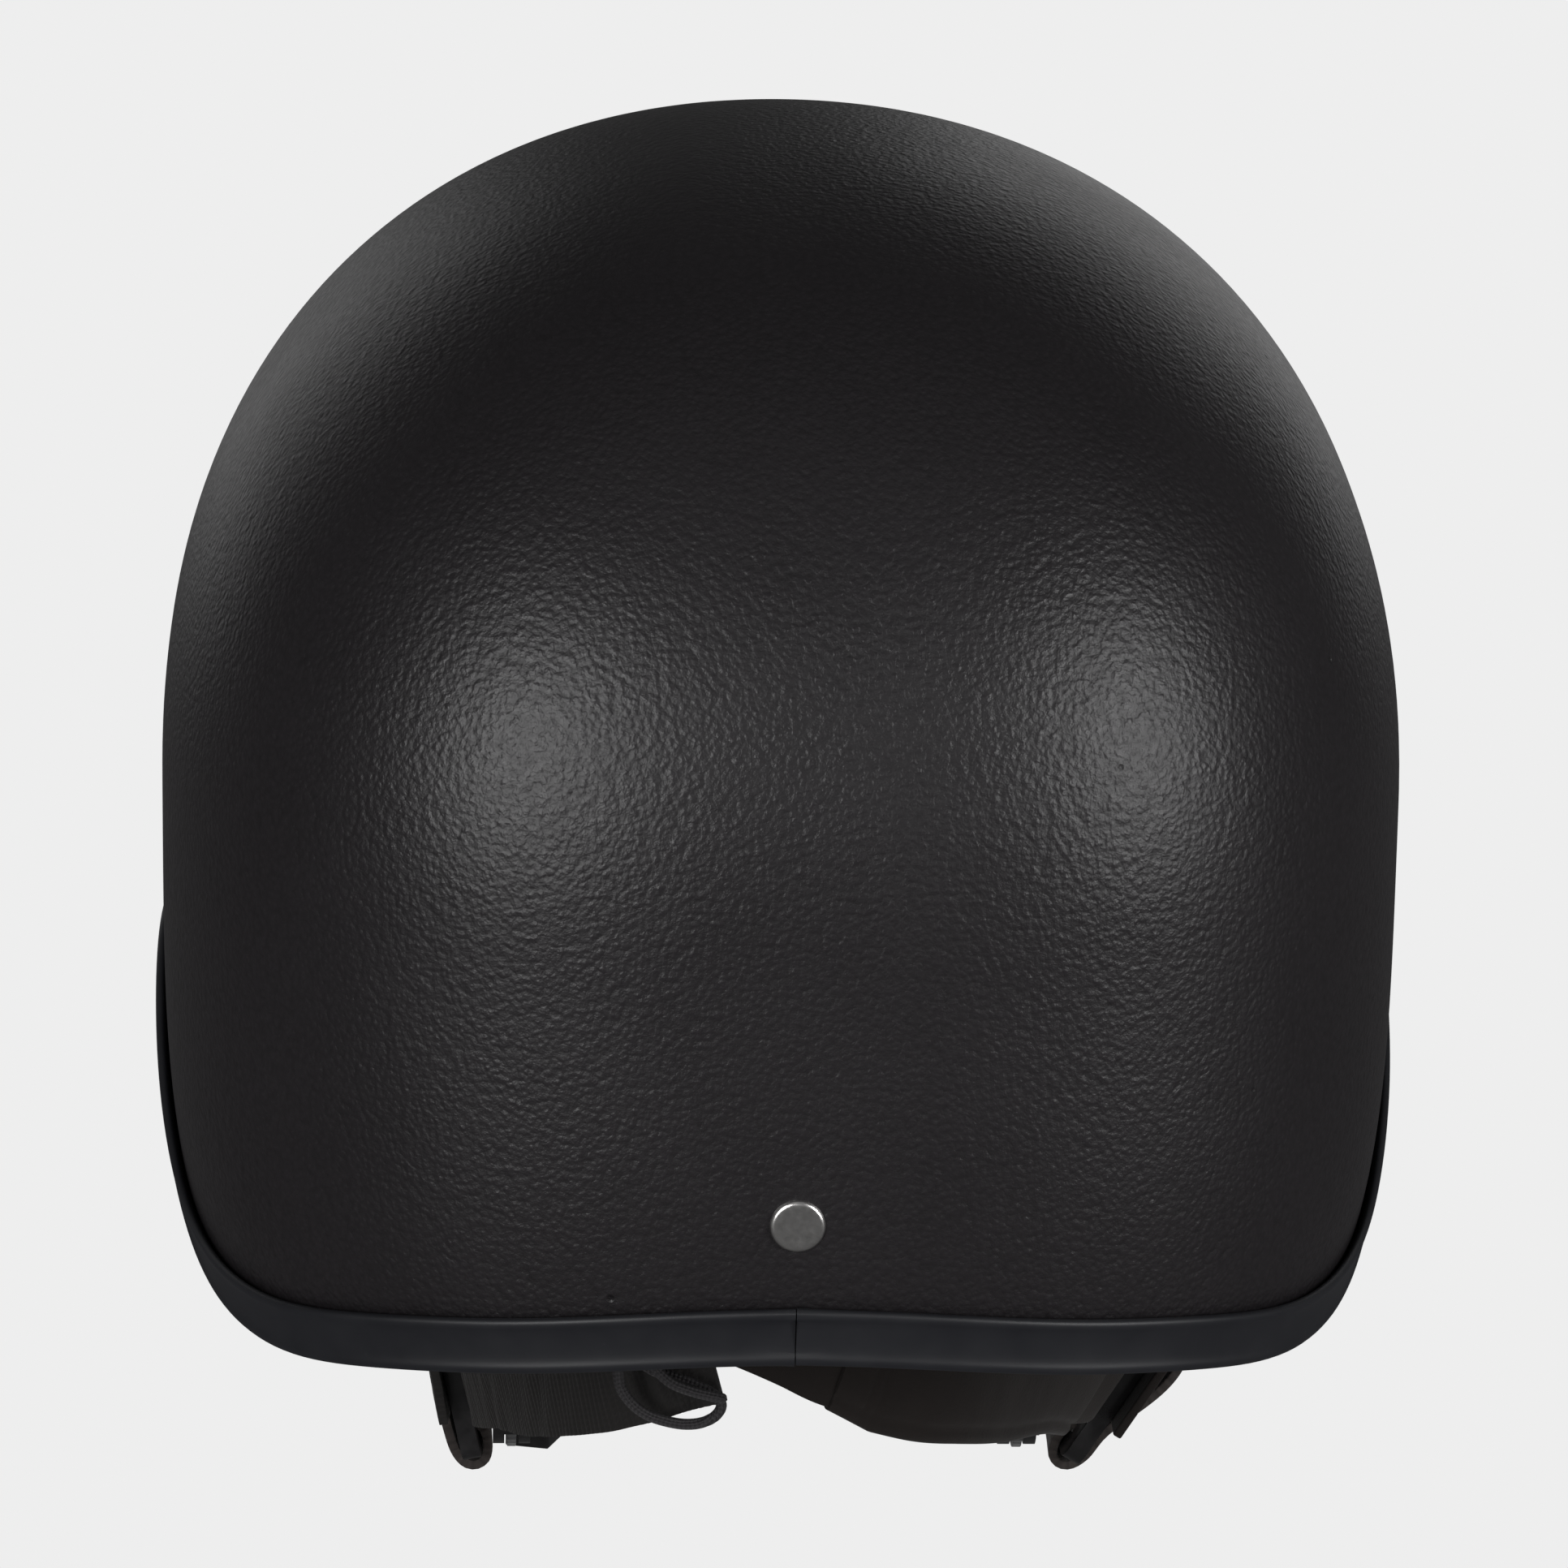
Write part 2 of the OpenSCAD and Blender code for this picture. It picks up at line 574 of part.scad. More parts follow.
module buckle_plug() {
    side_h = 1.8;
    color("#0a0a0a") left_straight() translate([-buckle_shift, mouth_s + cover_gap, 0]) difference() {
        union() {
            translate([-buckle_t / 2, 0, -buckle_h / 2 + 0.5]) cube([buckle_t, plug_l, buckle_h - 1]);
            translate([-2.3, -14, -tongue_h / 2]) cube([2.8, 15, tongue_h]);
        }
        translate([buckle_shift - web_t / 2 - 0.2, -1, -chin_w / 2 - 0.3]) cube([web_t + 0.4, plug_l + 2, chin_w + 0.6]);
        translate([-1.9, -1, 0]) for (s = [-1, 1]) scale([1, 1, s])
            translate([0, 0, prong_root_h - 2.6]) cube([2.8, prong_root_s - mouth_s - cover_gap + 3.2, 6]);
        translate([-buckle_t, plug_l - 10, -chin_w / 2 + side_h]) cube([buckle_t, 3.4, chin_w - 2 * side_h]);
    }
}

// A prong springs about its root; side is 1 for the upper one and -1 for the lower one
module buckle_prong(side) {
    arm_l = 14.5;
    arm_t = 2.2;
    barb_l = 7;
    left_straight() translate([-buckle_shift - 1.7, prong_root_s, 0]) mirror([0, 0, side > 0 ? 0 : 1]) {
        translate([0, 0, prong_root_h]) rotate([0, 90, 0]) cylinder(r = prong_r, h = 2.4, $fn = 48);
        translate([0, -arm_l - 2, prong_root_h - arm_t / 2]) cube([2.4, arm_l + 2, arm_t]);
        translate([0, 0, prong_root_h]) rotate([90, 0, 90]) linear_extrude(2.4) polygon([
            [-arm_l - 2, 0], [-arm_l - 2, 1.2], [-arm_l + 2.4, barb_reach - prong_root_h],
            [-arm_l + barb_l - 0.6, barb_reach - prong_root_h], [-arm_l + barb_l, 0]]);
    }
}
module buckle_prong_upper() { color("#0a0a0a") buckle_prong(1); }
module buckle_prong_lower() { color("#0a0a0a") buckle_prong(-1); }

// Sliding frames on the right straight: the opening clears the doubled webbing
module web_frame(s, l, h, wall_t) {
    bore_t = 2 * web_t + 0.5;
    mid_x = web_t / 2;
    right_straight() translate([mid_x, s, 0]) difference() {
        translate([-bore_t / 2 - wall_t, 0, -h / 2]) cube([bore_t + 2 * wall_t, l, h]);
        translate([-bore_t / 2, -1, -chin_w / 2 - 0.3]) cube([bore_t, l + 2, chin_w + 0.6]);
        children();
    }
}
module tri_glide() {
    color("#0a0a0a") web_frame(13, 14, 23, 1.3)
        for (s = [2.6, 8]) translate([0, s, -chin_w / 2 + 1]) cube([9, 3.4, chin_w - 2]);
}
module strap_keeper() {
    color("#0f0f10") web_frame(34, 6, 22, 1.1);
}

module chin_pad() {
    half_a = 38;
    hole_t = web_t + 0.8;
    color("#202024") chin_frame() translate([0, arc_y, 0]) rotate([0, 0, 90 - half_a])
        rotate_extrude(angle = 2 * half_a, $fn = 96) difference() {
            translate([arc_r - 4.4, -14]) square([8.4, 28]);
            translate([arc_r - hole_t / 2, -chin_w / 2 - 0.4]) square([hole_t, chin_w + 0.8]);
        }
}

outer_shell();
edge_trim();
foam_liner();
crown_pad();
lining_pad_front();
lining_pad_rear();
lining_pad_left();
lining_pad_right();
headband_front();
headband_rear();
hook_patches();
rear_rivet();
side_rivet_left();
side_rivet_right();
rivet_washers();
rear_tab();
side_strap_left();
side_strap_right();
nape_band_left();
nape_band_right();
nape_sleeve();
lace_eyelets();
nape_lace();
ear_divider_left();
ear_divider_right();
pivot_pin_left();
pivot_pin_right();
chin_web_left();
chin_web_right();
buckle_socket();
buckle_plug();
buckle_prong_upper();
buckle_prong_lower();
tri_glide();
strap_keeper();
chin_pad();
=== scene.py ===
import json
import math
import bpy
from mathutils import Matrix, Vector, Quaternion, noise

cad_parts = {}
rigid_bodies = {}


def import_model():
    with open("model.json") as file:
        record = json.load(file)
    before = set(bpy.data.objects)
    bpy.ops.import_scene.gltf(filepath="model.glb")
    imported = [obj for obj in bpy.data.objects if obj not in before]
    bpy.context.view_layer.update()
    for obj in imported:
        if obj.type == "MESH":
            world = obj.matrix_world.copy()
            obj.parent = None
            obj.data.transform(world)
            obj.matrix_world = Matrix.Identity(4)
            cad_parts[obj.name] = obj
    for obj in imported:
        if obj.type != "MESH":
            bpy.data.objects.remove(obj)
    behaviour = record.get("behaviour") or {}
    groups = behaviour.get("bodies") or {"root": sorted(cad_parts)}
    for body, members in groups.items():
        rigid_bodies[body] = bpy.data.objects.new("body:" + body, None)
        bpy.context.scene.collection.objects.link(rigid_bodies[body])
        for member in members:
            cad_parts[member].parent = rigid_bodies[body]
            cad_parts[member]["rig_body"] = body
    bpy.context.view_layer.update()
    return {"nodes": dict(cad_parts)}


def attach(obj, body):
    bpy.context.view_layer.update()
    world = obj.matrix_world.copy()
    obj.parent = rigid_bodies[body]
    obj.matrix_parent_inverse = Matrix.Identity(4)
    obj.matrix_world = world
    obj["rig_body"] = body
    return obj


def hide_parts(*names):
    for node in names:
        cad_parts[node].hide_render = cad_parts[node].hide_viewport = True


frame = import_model()
nodes = frame["nodes"]
mm = 0.001
print("helmet: frame loaded")


# ---- small tools ----

def clearSelection():
    bpy.ops.object.select_all(action="DESELECT")


def takeUp(piece):
    clearSelection()
    piece.select_set(True)
    bpy.context.view_layer.objects.active = piece


def modify(piece, kind, **choices):
    takeUp(piece)
    bpy.ops.object.modifier_add(type=kind)
    modifier = piece.modifiers[-1]
    for name, value in choices.items():
        setattr(modifier, name, value)
    bpy.ops.object.modifier_apply(modifier=modifier.name)


def mergeDoubles(piece, gap=0.01 * mm, outward=False):
    takeUp(piece)
    bpy.ops.object.mode_set(mode="EDIT")
    bpy.ops.mesh.select_all(action="SELECT")
    bpy.ops.mesh.remove_doubles(threshold=gap)
    if outward:
        bpy.ops.mesh.normals_make_consistent(inside=False)
    bpy.ops.object.mode_set(mode="OBJECT")


def smoothShade(piece, angle=40):
    takeUp(piece)
    bpy.ops.object.shade_smooth_by_angle(angle=math.radians(angle))


def copyNode(node, name):
    piece = bpy.data.objects.new(name, nodes[node].data.copy())  # the frame's own mesh is left alone
    bpy.context.scene.collection.objects.link(piece)
    piece.data.materials.clear()
    takeUp(piece)
    bpy.ops.object.mode_set(mode="EDIT")
    bpy.ops.mesh.select_all(action="SELECT")
    bpy.ops.mesh.remove_doubles(threshold=0.01 * mm)
    bpy.ops.mesh.customdata_custom_splitnormals_clear()
    bpy.ops.mesh.tris_convert_to_quads(face_threshold=math.radians(12), shape_threshold=math.radians(60))
    bpy.ops.object.mode_set(mode="OBJECT")
    return piece


def laySheet(name, columns, rows, place):
    # a grid whose points are laid by place(share of its length, share of its width), in millimetres
    clearSelection()
    bpy.ops.mesh.primitive_grid_add(x_subdivisions=columns, y_subdivisions=rows, size=1)
    sheet = bpy.context.object
    sheet.name = name
    for vertex in sheet.data.vertices:
        vertex.co = place(vertex.co.x + 0.5, vertex.co.y + 0.5) * mm
    return sheet


def pickFaces(piece, test):
    # leaves the piece in edit mode with just those faces selected
    takeUp(piece)
    bpy.context.tool_settings.mesh_select_mode = (False, False, True)
    bpy.ops.object.mode_set(mode="EDIT")
    bpy.ops.mesh.select_all(action="DESELECT")
    bpy.ops.object.mode_set(mode="OBJECT")
    for face in piece.data.polygons:
        face.select = test(face)
    bpy.ops.object.mode_set(mode="EDIT")


def joinPieces(pieces, name):
    takeUp(pieces[0])
    for piece in pieces[1:]:
        piece.select_set(True)
    bpy.ops.object.join()
    pieces[0].name = name
    return pieces[0]


def settle(piece, finish, body, stands=()):
    piece.data.materials.clear()
    piece.data.materials.append(finish)
    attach(piece, body)
    if stands:
        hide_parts(*stands)


def hermite(stops, x):
    # smooth curve through [place, value] stops, flat at both ends
    i = 0
    while i < len(stops) - 2 and x > stops[i + 1][0]:
        i += 1

    def slope(k):
        if k in (0, len(stops) - 1):
            return 0
        return (stops[k + 1][1] - stops[k - 1][1]) / (stops[k + 1][0] - stops[k - 1][0])
    h = stops[i + 1][0] - stops[i][0]
    s = min(max((x - stops[i][0]) / h, 0), 1)
    return (stops[i][1] * (1 - s) ** 2 * (1 + 2 * s) + stops[i + 1][1] * s * s * (3 - 2 * s)
            + h * slope(i) * s * (1 - s) ** 2 - h * slope(i + 1) * s * s * (1 - s))


class Run:
    # a smooth line through points, with the direction of a strap's width along it
    def __init__(self, points, leans):
        self.points = [Vector(p) for p in points]
        self.leans = [Vector(l) for l in leans]
        self.stops = [0]
        for a, b in zip(self.points, self.points[1:]):
            self.stops.append(self.stops[-1] + (b - a).length)
        self.length = self.stops[-1]

    def spot(self, t):
        t = min(max(t, 0), self.length)
        i = 0
        while i < len(self.stops) - 2 and t > self.stops[i + 1]:
            i += 1
        p = self.points
        h = self.stops[i + 1] - self.stops[i]
        s = (t - self.stops[i]) / h

        def slope(k):
            a, b = max(k - 1, 0), min(k + 1, len(p) - 1)
            return (p[b] - p[a]) / (self.stops[b] - self.stops[a]) * h
        point = (p[i] * ((1 - s) ** 2 * (1 + 2 * s)) + p[i + 1] * (s * s * (3 - 2 * s))
                 + slope(i) * (s * (1 - s) ** 2) - slope(i + 1) * (s * s * (1 - s)))
        return point, self.leans[i].lerp(self.leans[i + 1], s)

    def square(self, t):
        # middle, width direction and upright of the strap at t
        point, lean = self.spot(t)
        heading = (self.spot(t + 0.4)[0] - self.spot(t - 0.4)[0]).normalized()
        across = (lean - heading * lean.dot(heading)).normalized()
        return point, across, across.cross(heading).normalized()


# ---- the dome, shared by the shell, the liner and the lining ----

dome = {"halfWidth": 103, "front": 131, "rear": 120, "widest": 67, "crown": 173, "skirt": 0.033, "skirtAngle": 40,
        "frontSquare": 2.05, "rearSquare": 2.7, "crownSquare": 2.23, "sideSquare": 2.2,
        "rim": [[0, 0], [28, -5.6], [48, -12.4], [66, -8.6], [84, 10.5], [102, 24], [126, 20], [152, 31], [180, 38]]}


def rimHeight(a):
    b = (a + 450) % 360
    return hermite(dome["rim"], 360 - b if b > 180 else b)


def levelAt(z):
    return (z / dome["widest"] - 1) * dome["skirtAngle"]


def domePoint(a, e, depth):
    turn, level = math.radians(a), math.radians(min(e, 90))
    square = dome["frontSquare"] if math.sin(turn) > 0 else dome["rearSquare"]
    length = (dome["front"] if math.sin(turn) > 0 else dome["rear"]) - depth
    r = ((abs(math.cos(turn)) / (dome["halfWidth"] - depth)) ** square
         + (abs(math.sin(turn)) / length) ** square) ** (-1 / square)
    if e < 0:
        r *= 1 - dome["skirt"] * (e / dome["skirtAngle"]) ** 4
        z = dome["widest"] * (1 + e / dome["skirtAngle"])
    else:
        r *= max(math.cos(level), 0) ** (2 / dome["sideSquare"])
        z = dome["widest"] + (dome["crown"] - depth - dome["widest"]) * math.sin(level) ** (2 / dome["crownSquare"])
    return Vector((r * math.cos(turn), r * math.sin(turn), z))


# ---- finishes ----

class Wire:
    # a socket of a material, so that its maths can be written as sums
    def __init__(self, tree, socket=None):
        self.tree, self.socket = tree, socket

    def node(self, kind, settings=None, values=None, out=0):
        made = self.tree.nodes.new("ShaderNode" + kind)
        for name, value in (settings or {}).items():
            setattr(made, name, value)
        for name, value in (values or {}).items():
            if isinstance(value, Wire):
                self.tree.links.new(value.socket, made.inputs[name])
            else:
                made.inputs[name].default_value = value
        return Wire(self.tree, made.outputs[out])

    def sum(self, operation, first, second=0.0):
        return self.node("Math", {"operation": operation}, {0: first, 1: second})

    def __add__(self, other): return self.sum("ADD", self, other)
    def __radd__(self, other): return self.sum("ADD", other, self)
    def __sub__(self, other): return self.sum("SUBTRACT", self, other)
    def __rsub__(self, other): return self.sum("SUBTRACT", other, self)
    def __mul__(self, other): return self.sum("MULTIPLY", self, other)
    def __rmul__(self, other): return self.sum("MULTIPLY", other, self)
    def sine(self): return self.sum("SINE", self)

    def between(self, low, high):
        return self.node("MapRange", {"clamp": True}, {"Value": self, "From Min": low, "From Max": high})

    def blend(self, first, second):
        # colour mix, with this wire as the share of the second
        return self.node("Mix", {"data_type": "RGBA"}, {0: self, 6: (*first, 1), 7: (*second, 1)}, out=2)


def newFinish(name, looks):
    finish = bpy.data.materials.new(name)
    finish.use_nodes = True
    shader = finish.node_tree.nodes["Principled BSDF"]
    for socket, value in looks.items():
        shader.inputs[socket].default_value = (*value, 1) if isinstance(value, tuple) else value
    return finish, Wire(finish.node_tree), shader


def feed(shader, links):
    for socket, wire in links.items():
        wire.tree.links.new(wire.socket, shader.inputs[socket])


def bumpOf(wire, height, strength, depth):
    return wire.node("Bump", None, {"Height": height, "Strength": strength, "Distance": depth})


def noiseOf(wire, where, scale, detail=2.0, rough=0.5):
    return wire.node("TexNoise", None, {"Vector": where, "Scale": scale, "Detail": detail, "Roughness": rough})


def makeShellFinish():
    looks = {"warm": (0.0108, 0.0094, 0.0106), "deep": (0.0045, 0.0038, 0.0043), "grain": 980, "pits": 46,
             "rough": 0.42}
    finish, wire, shader = newFinish("shellFinish", {"Specular IOR Level": 0.36})
    where = wire.node("TexCoord", out=3)
    cells = wire.node("TexVoronoi", {"feature": "SMOOTH_F1"},
                      {"Vector": where, "Scale": looks["grain"], "Smoothness": 0.6})
    mottle = noiseOf(wire, where, looks["grain"] * 0.75, 3.0, 0.6)
    cloud = noiseOf(wire, where, 38, 2.0)
    pits = wire.node("TexVoronoi", None, {"Vector": where, "Scale": looks["pits"]}).between(0.034, 0.014)
    grain = (mottle - 0.5) * 1.4 + (0.5 - cells) * 0.7
    feed(shader, {
        "Base Color": (grain * 0.7 + cloud * 0.25 + 0.35 - pits).between(0, 1).blend(looks["deep"], looks["warm"]),
        "Roughness": looks["rough"] + (0.5 - mottle) * 0.22 + (cloud - 0.5) * 0.06,
        "Normal": bumpOf(wire, grain - pits * 1.5, 0.7, 0.00022)})
    return finish


def makeTrimFinish():
    looks = {"base": (0.0056, 0.0059, 0.0076), "dusty": (0.0095, 0.0098, 0.0118), "rough": 0.44}
    finish, wire, shader = newFinish("trimRubber", {"Specular IOR Level": 0.4})
    where = wire.node("TexCoord", out=3)
    cloud = noiseOf(wire, where, 95, 4.0, 0.6)
    grain = noiseOf(wire, where, 1500, 2.0)
    scuffs = noiseOf(wire, where, 420, 2.0).between(0.7, 0.78)
    feed(shader, {
        "Base Color": (cloud * 0.8 + scuffs * 0.35).between(0.2, 0.9).blend(looks["base"], looks["dusty"]),
        "Roughness": looks["rough"] + cloud * 0.12,
        "Normal": bumpOf(wire, grain + scuffs * 1.5, 0.12, 0.0001)})
    return finish


def makeLinerFinish():
    looks = {"bead": (0.03, 0.03, 0.032), "seam": (0.012, 0.012, 0.013), "beads": 330}
    finish, wire, shader = newFinish("linerFoam", {"Roughness": 0.72, "Specular IOR Level": 0.3})
    where = wire.node("TexCoord", out=3)
    edge = wire.node("TexVoronoi", {"feature": "DISTANCE_TO_EDGE"},
                     {"Vector": where, "Scale": looks["beads"]}).between(0, 0.16)
    feed(shader, {"Base Color": edge.blend(looks["seam"], looks["bead"]), "Normal": bumpOf(wire, edge, 0.5, 0.0003)})
    return finish


def makeKnitFinish(name, base, light, pitch, nap=0.6):
    # open mesh knit: small holes in staggered rows
    finish, wire, shader = newFinish(name, {"Specular IOR Level": 0.25, "Sheen Weight": 0.25, "Sheen Roughness": 0.5})
    where = wire.node("TexCoord", out=3)
    holes = wire.node("TexVoronoi", None, {"Vector": where, "Scale": 1 / pitch, "Randomness": 0.25})
    fuzz = noiseOf(wire, where, 2.2 / pitch, 3.0, 0.65)
    cloud = noiseOf(wire, where, 60, 2.0)
    yarn = holes.between(0.12, 0.5)
    feed(shader, {
        "Base Color": (yarn * 0.6 + fuzz * 0.4 + cloud * 0.2 - 0.1).between(0, 1).blend(base, light),
        "Roughness": 0.78 + fuzz * 0.15,
        "Normal": bumpOf(wire, yarn + fuzz * nap, 0.5, 0.00025)})
    return finish


def makeWebFinish(name, base, light, rib, twill, sheen=0.2):
    # woven strap: ribs across it, and a fine twill, on its own map in millimetres
    finish, wire, shader = newFinish(name, {"Specular IOR Level": 0.3, "Sheen Weight": sheen, "Sheen Roughness": 0.45})
    plan = wire.node("UVMap", {"uv_map": "weave"})
    along = wire.node("SeparateXYZ", None, {0: plan})
    across = wire.node("SeparateXYZ", None, {0: plan}, out=1)
    ribs = (along * (2 * math.pi / rib)).sine() * 0.5 + 0.5
    yarns = ((along * (2 * math.pi / twill) + across * (2 * math.pi / twill * 0.8)).sine() * 0.5 + 0.5) \
        * ((across * (2 * math.pi / (twill * 1.4))).sine() * 0.5 + 0.5)
    fuzz = noiseOf(wire, wire.node("TexCoord", out=3), 1900, 3.0, 0.65)
    cloud = noiseOf(wire, wire.node("TexCoord", out=3), 120, 3.0)
    height = ribs * 0.55 + yarns * 0.45
    feed(shader, {
        "Base Color": (height * 0.5 + fuzz * 0.35 + cloud * 0.45 - 0.15).between(0, 1).blend(base, light),
        "Roughness": 0.68 + fuzz * 0.2,
        "Normal": bumpOf(wire, height + fuzz * 0.35, 0.55, 0.00022)})
    return finish


def makeSuedeFinish():
    looks = {"base": (0.0036, 0.0028, 0.0025), "rubbed": (0.0115, 0.0092, 0.0083)}
    finish, wire, shader = newFinish(
        "suede", {"Specular IOR Level": 0.14, "Sheen Weight": 0.05, "Sheen Roughness": 0.4})
    where = wire.node("TexCoord", out=3)
    nap = noiseOf(wire, where, 1500, 4.0, 0.7)
    cloud = noiseOf(wire, where, 90, 3.0)
    feed(shader, {
        "Base Color": (nap * 0.55 + cloud * 0.6 - 0.1).between(0, 1).blend(looks["base"], looks["rubbed"]),
        "Roughness": 0.8 + nap * 0.15,
        "Normal": bumpOf(wire, nap, 0.45, 0.00025)})
    return finish


def makeMetalFinish(name, tone, rough, scratch):
    finish, wire, shader = newFinish(name, {"Metallic": 1.0})
    where = wire.node("TexCoord", out=3)
    worn = noiseOf(wire, where, 900, 3.0, 0.6)
    fine = noiseOf(wire, where, 4200, 2.0)
    dull = tuple(0.82 * c for c in tone)
    feed(shader, {
        "Base Color": worn.blend(dull, tone),
        "Roughness": rough + worn * 0.12,
        "Normal": bumpOf(wire, fine, scratch, 0.00004)})
    return finish


def makePlasticFinish(name, base, rough, coat=0.0):
    finish, wire, shader = newFinish(name, {"Specular IOR Level": 0.5, "Coat Weight": coat, "Coat Roughness": 0.12})
    where = wire.node("TexCoord", out=3)
    worn = noiseOf(wire, where, 260, 4.0, 0.6)
    fine = noiseOf(wire, where, 2600, 2.0)
    lift = tuple(1.9 * c + 0.002 for c in base)
    feed(shader, {
        "Base Color": worn.between(0.45, 0.8).blend(base, lift),
        "Roughness": rough + worn * 0.14,
        "Normal": bumpOf(wire, fine + worn * 0.6, 0.1, 0.00006)})
    return finish


def makeLaceFinish(diameter):
    finish, wire, shader = newFinish(
        "laceCord", {"Specular IOR Level": 0.3, "Sheen Weight": 0.05, "Sheen Roughness": 0.4})
    plan = wire.node("UVMap", {"uv_map": "weave"})
    along = wire.node("SeparateXYZ", None, {0: plan}) * 4.4
    around = wire.node("SeparateXYZ", None, {0: plan}, out=1) * (8 * math.pi / (math.pi * diameter))
    braid = (along + around).sine() * (along - around).sine()
    fuzz = noiseOf(wire, wire.node("TexCoord", out=3), 2600, 3.0)
    feed(shader, {
        "Base Color": (braid * 0.35 + fuzz * 0.6 + 0.1).between(0, 1).blend(
            (0.006, 0.0055, 0.006), (0.022, 0.02, 0.022)),
        "Roughness": 0.55 + fuzz * 0.2,
        "Normal": bumpOf(wire, braid + fuzz * 0.3, 0.6, 0.0002)})
    return finish


shellFinish, trimRubber, linerFoam = makeShellFinish(), makeTrimFinish(), makeLinerFinish()
liningFabric = makeKnitFinish("liningFabric", (0.006, 0.006, 0.007), (0.02, 0.02, 0.022), 0.0011)
headbandFabric = makeKnitFinish("headbandFabric", (0.009, 0.0085, 0.01), (0.026, 0.025, 0.028), 0.0008, 1.0)
hookTape = makeKnitFinish("hookTape", (0.004, 0.004, 0.004), (0.012, 0.012, 0.012), 0.0006, 1.5)
suede = makeSuedeFinish()
rivetNickel = makeMetalFinish("rivetNickel", (0.78, 0.765, 0.75), 0.24, 0.05)
washerSteel = makeMetalFinish("washerSteel", (0.5, 0.49, 0.47), 0.38, 0.1)
eyeletMetal = makePlasticFinish("eyeletMetal", (0.01, 0.01, 0.011), 0.35)
glossPlastic = makePlasticFinish("glossPlastic", (0.0055, 0.0052, 0.0055), 0.22, 0.35)
keeperRubber = makePlasticFinish("keeperRubber", (0.008, 0.008, 0.009), 0.55)
print("helmet: finishes made")


# ---- shell and trim ----

shellShape = {"thickness": 3, "edgeHeight": 1.6, "columns": 192, "rows": 70}


def shellSpot(s, t):
    a = -90 + 360 * s
    low = levelAt(rimHeight(a) + shellShape["edgeHeight"])
    return domePoint(a, low + (90 - low) * t ** 0.9, 0)


def wrapDome(name, columns, rows, spot, thickness):
    # a closed wall: laid as a grid, joined behind and at the crown, then thickened inwards
    wall = laySheet(name, columns, rows, spot)
    mergeDoubles(wall, 0.02 * mm, True)
    modify(wall, "SOLIDIFY", thickness=thickness * mm, offset=-1, use_even_offset=True)
    smoothShade(wall)
    return wall


shell = wrapDome("shell", shellShape["columns"], shellShape["rows"], shellSpot, shellShape["thickness"])
settle(shell, shellFinish, "helmet", ["outer_shell"])

trim = copyNode("edge_trim", "edgeTrim")
for vertex in trim.data.vertices:
    if abs(vertex.co.x) < 0.35 * mm and vertex.co.y < 0:
        vertex.co.x *= 0.4  # the join at the back is drawn tight
pickFaces(trim, lambda face: abs(face.normal.x) > 0.9 and abs(face.center.x) < 0.5 * mm)
bpy.ops.transform.edge_crease(value=1)  # the two ends butt together square
bpy.ops.object.mode_set(mode="OBJECT")
modify(trim, "SUBSURF", levels=2, render_levels=2)
smoothShade(trim, 60)
settle(trim, trimRubber, "helmet", ["edge_trim"])
print("helmet: shell and trim")

rivetShape = {"headRadius": 4.4, "edge": 0.75, "crown": 0.75}


def makeRivet(name, middle, facing):
    # a shallow dome with a rolled edge, on a short collar that sits in the shell
    clearSelection()
    bpy.ops.mesh.primitive_cylinder_add(vertices=64, radius=rivetShape["headRadius"] * mm, depth=1.6 * mm,
                                        end_fill_type="NGON", location=(0, 0, 0.3 * mm))
    head = bpy.context.object
    head.name = name
    pickFaces(head, lambda face: face.normal.z > 0.9)
    bpy.ops.mesh.bevel(offset=rivetShape["edge"] * mm, segments=6, affect="EDGES")
    bpy.ops.object.mode_set(mode="OBJECT")
    pickFaces(head, lambda face: face.normal.z > 0.99 and face.area > 5e-6)
    for ring in (0.5, 0.6, 0.7, 0.8, 0.8):
        bpy.ops.mesh.inset(thickness=ring * mm, depth=0)
    bpy.ops.mesh.poke()
    bpy.ops.object.mode_set(mode="OBJECT")
    flat = (rivetShape["headRadius"] - rivetShape["edge"]) * mm
    for vertex in head.data.vertices:
        r = math.hypot(vertex.co.x, vertex.co.y)
        if vertex.co.z > 0.9 * mm:
            vertex.co.z += rivetShape["crown"] * mm * max(1 - (r / flat) ** 2, 0)  # the dome of the head
    turn = Vector(facing).to_track_quat("Z", "Y")
    head.data.transform(turn.to_matrix().to_4x4())
    head.data.transform(Matrix.Translation(Vector(middle) * mm))
    head.location = (0, 0, 0)
    smoothShade(head, 50)
    return head


def turnRivet(name, node, middle, facing):
    head = makeRivet(name, middle, facing)
    bpy.ops.mesh.primitive_cylinder_add(vertices=32, radius=2 * mm, depth=8.4 * mm, location=(0, 0, -4.4 * mm))
    shank = bpy.context.object
    bpy.ops.mesh.primitive_cylinder_add(vertices=32, radius=3.4 * mm, depth=0.9 * mm, location=(0, 0, -8.7 * mm))
    tail = bpy.context.object
    for part in (shank, tail):
        part.data.transform(Matrix.Translation(part.location))
        part.location = (0, 0, 0)
        part.data.transform(Vector(facing).to_track_quat("Z", "Y").to_matrix().to_4x4())
        part.data.transform(Matrix.Translation(Vector(middle) * mm))
        smoothShade(part, 50)
    joinPieces([head, shank, tail], name)
    settle(head, rivetNickel, "helmet", [node])


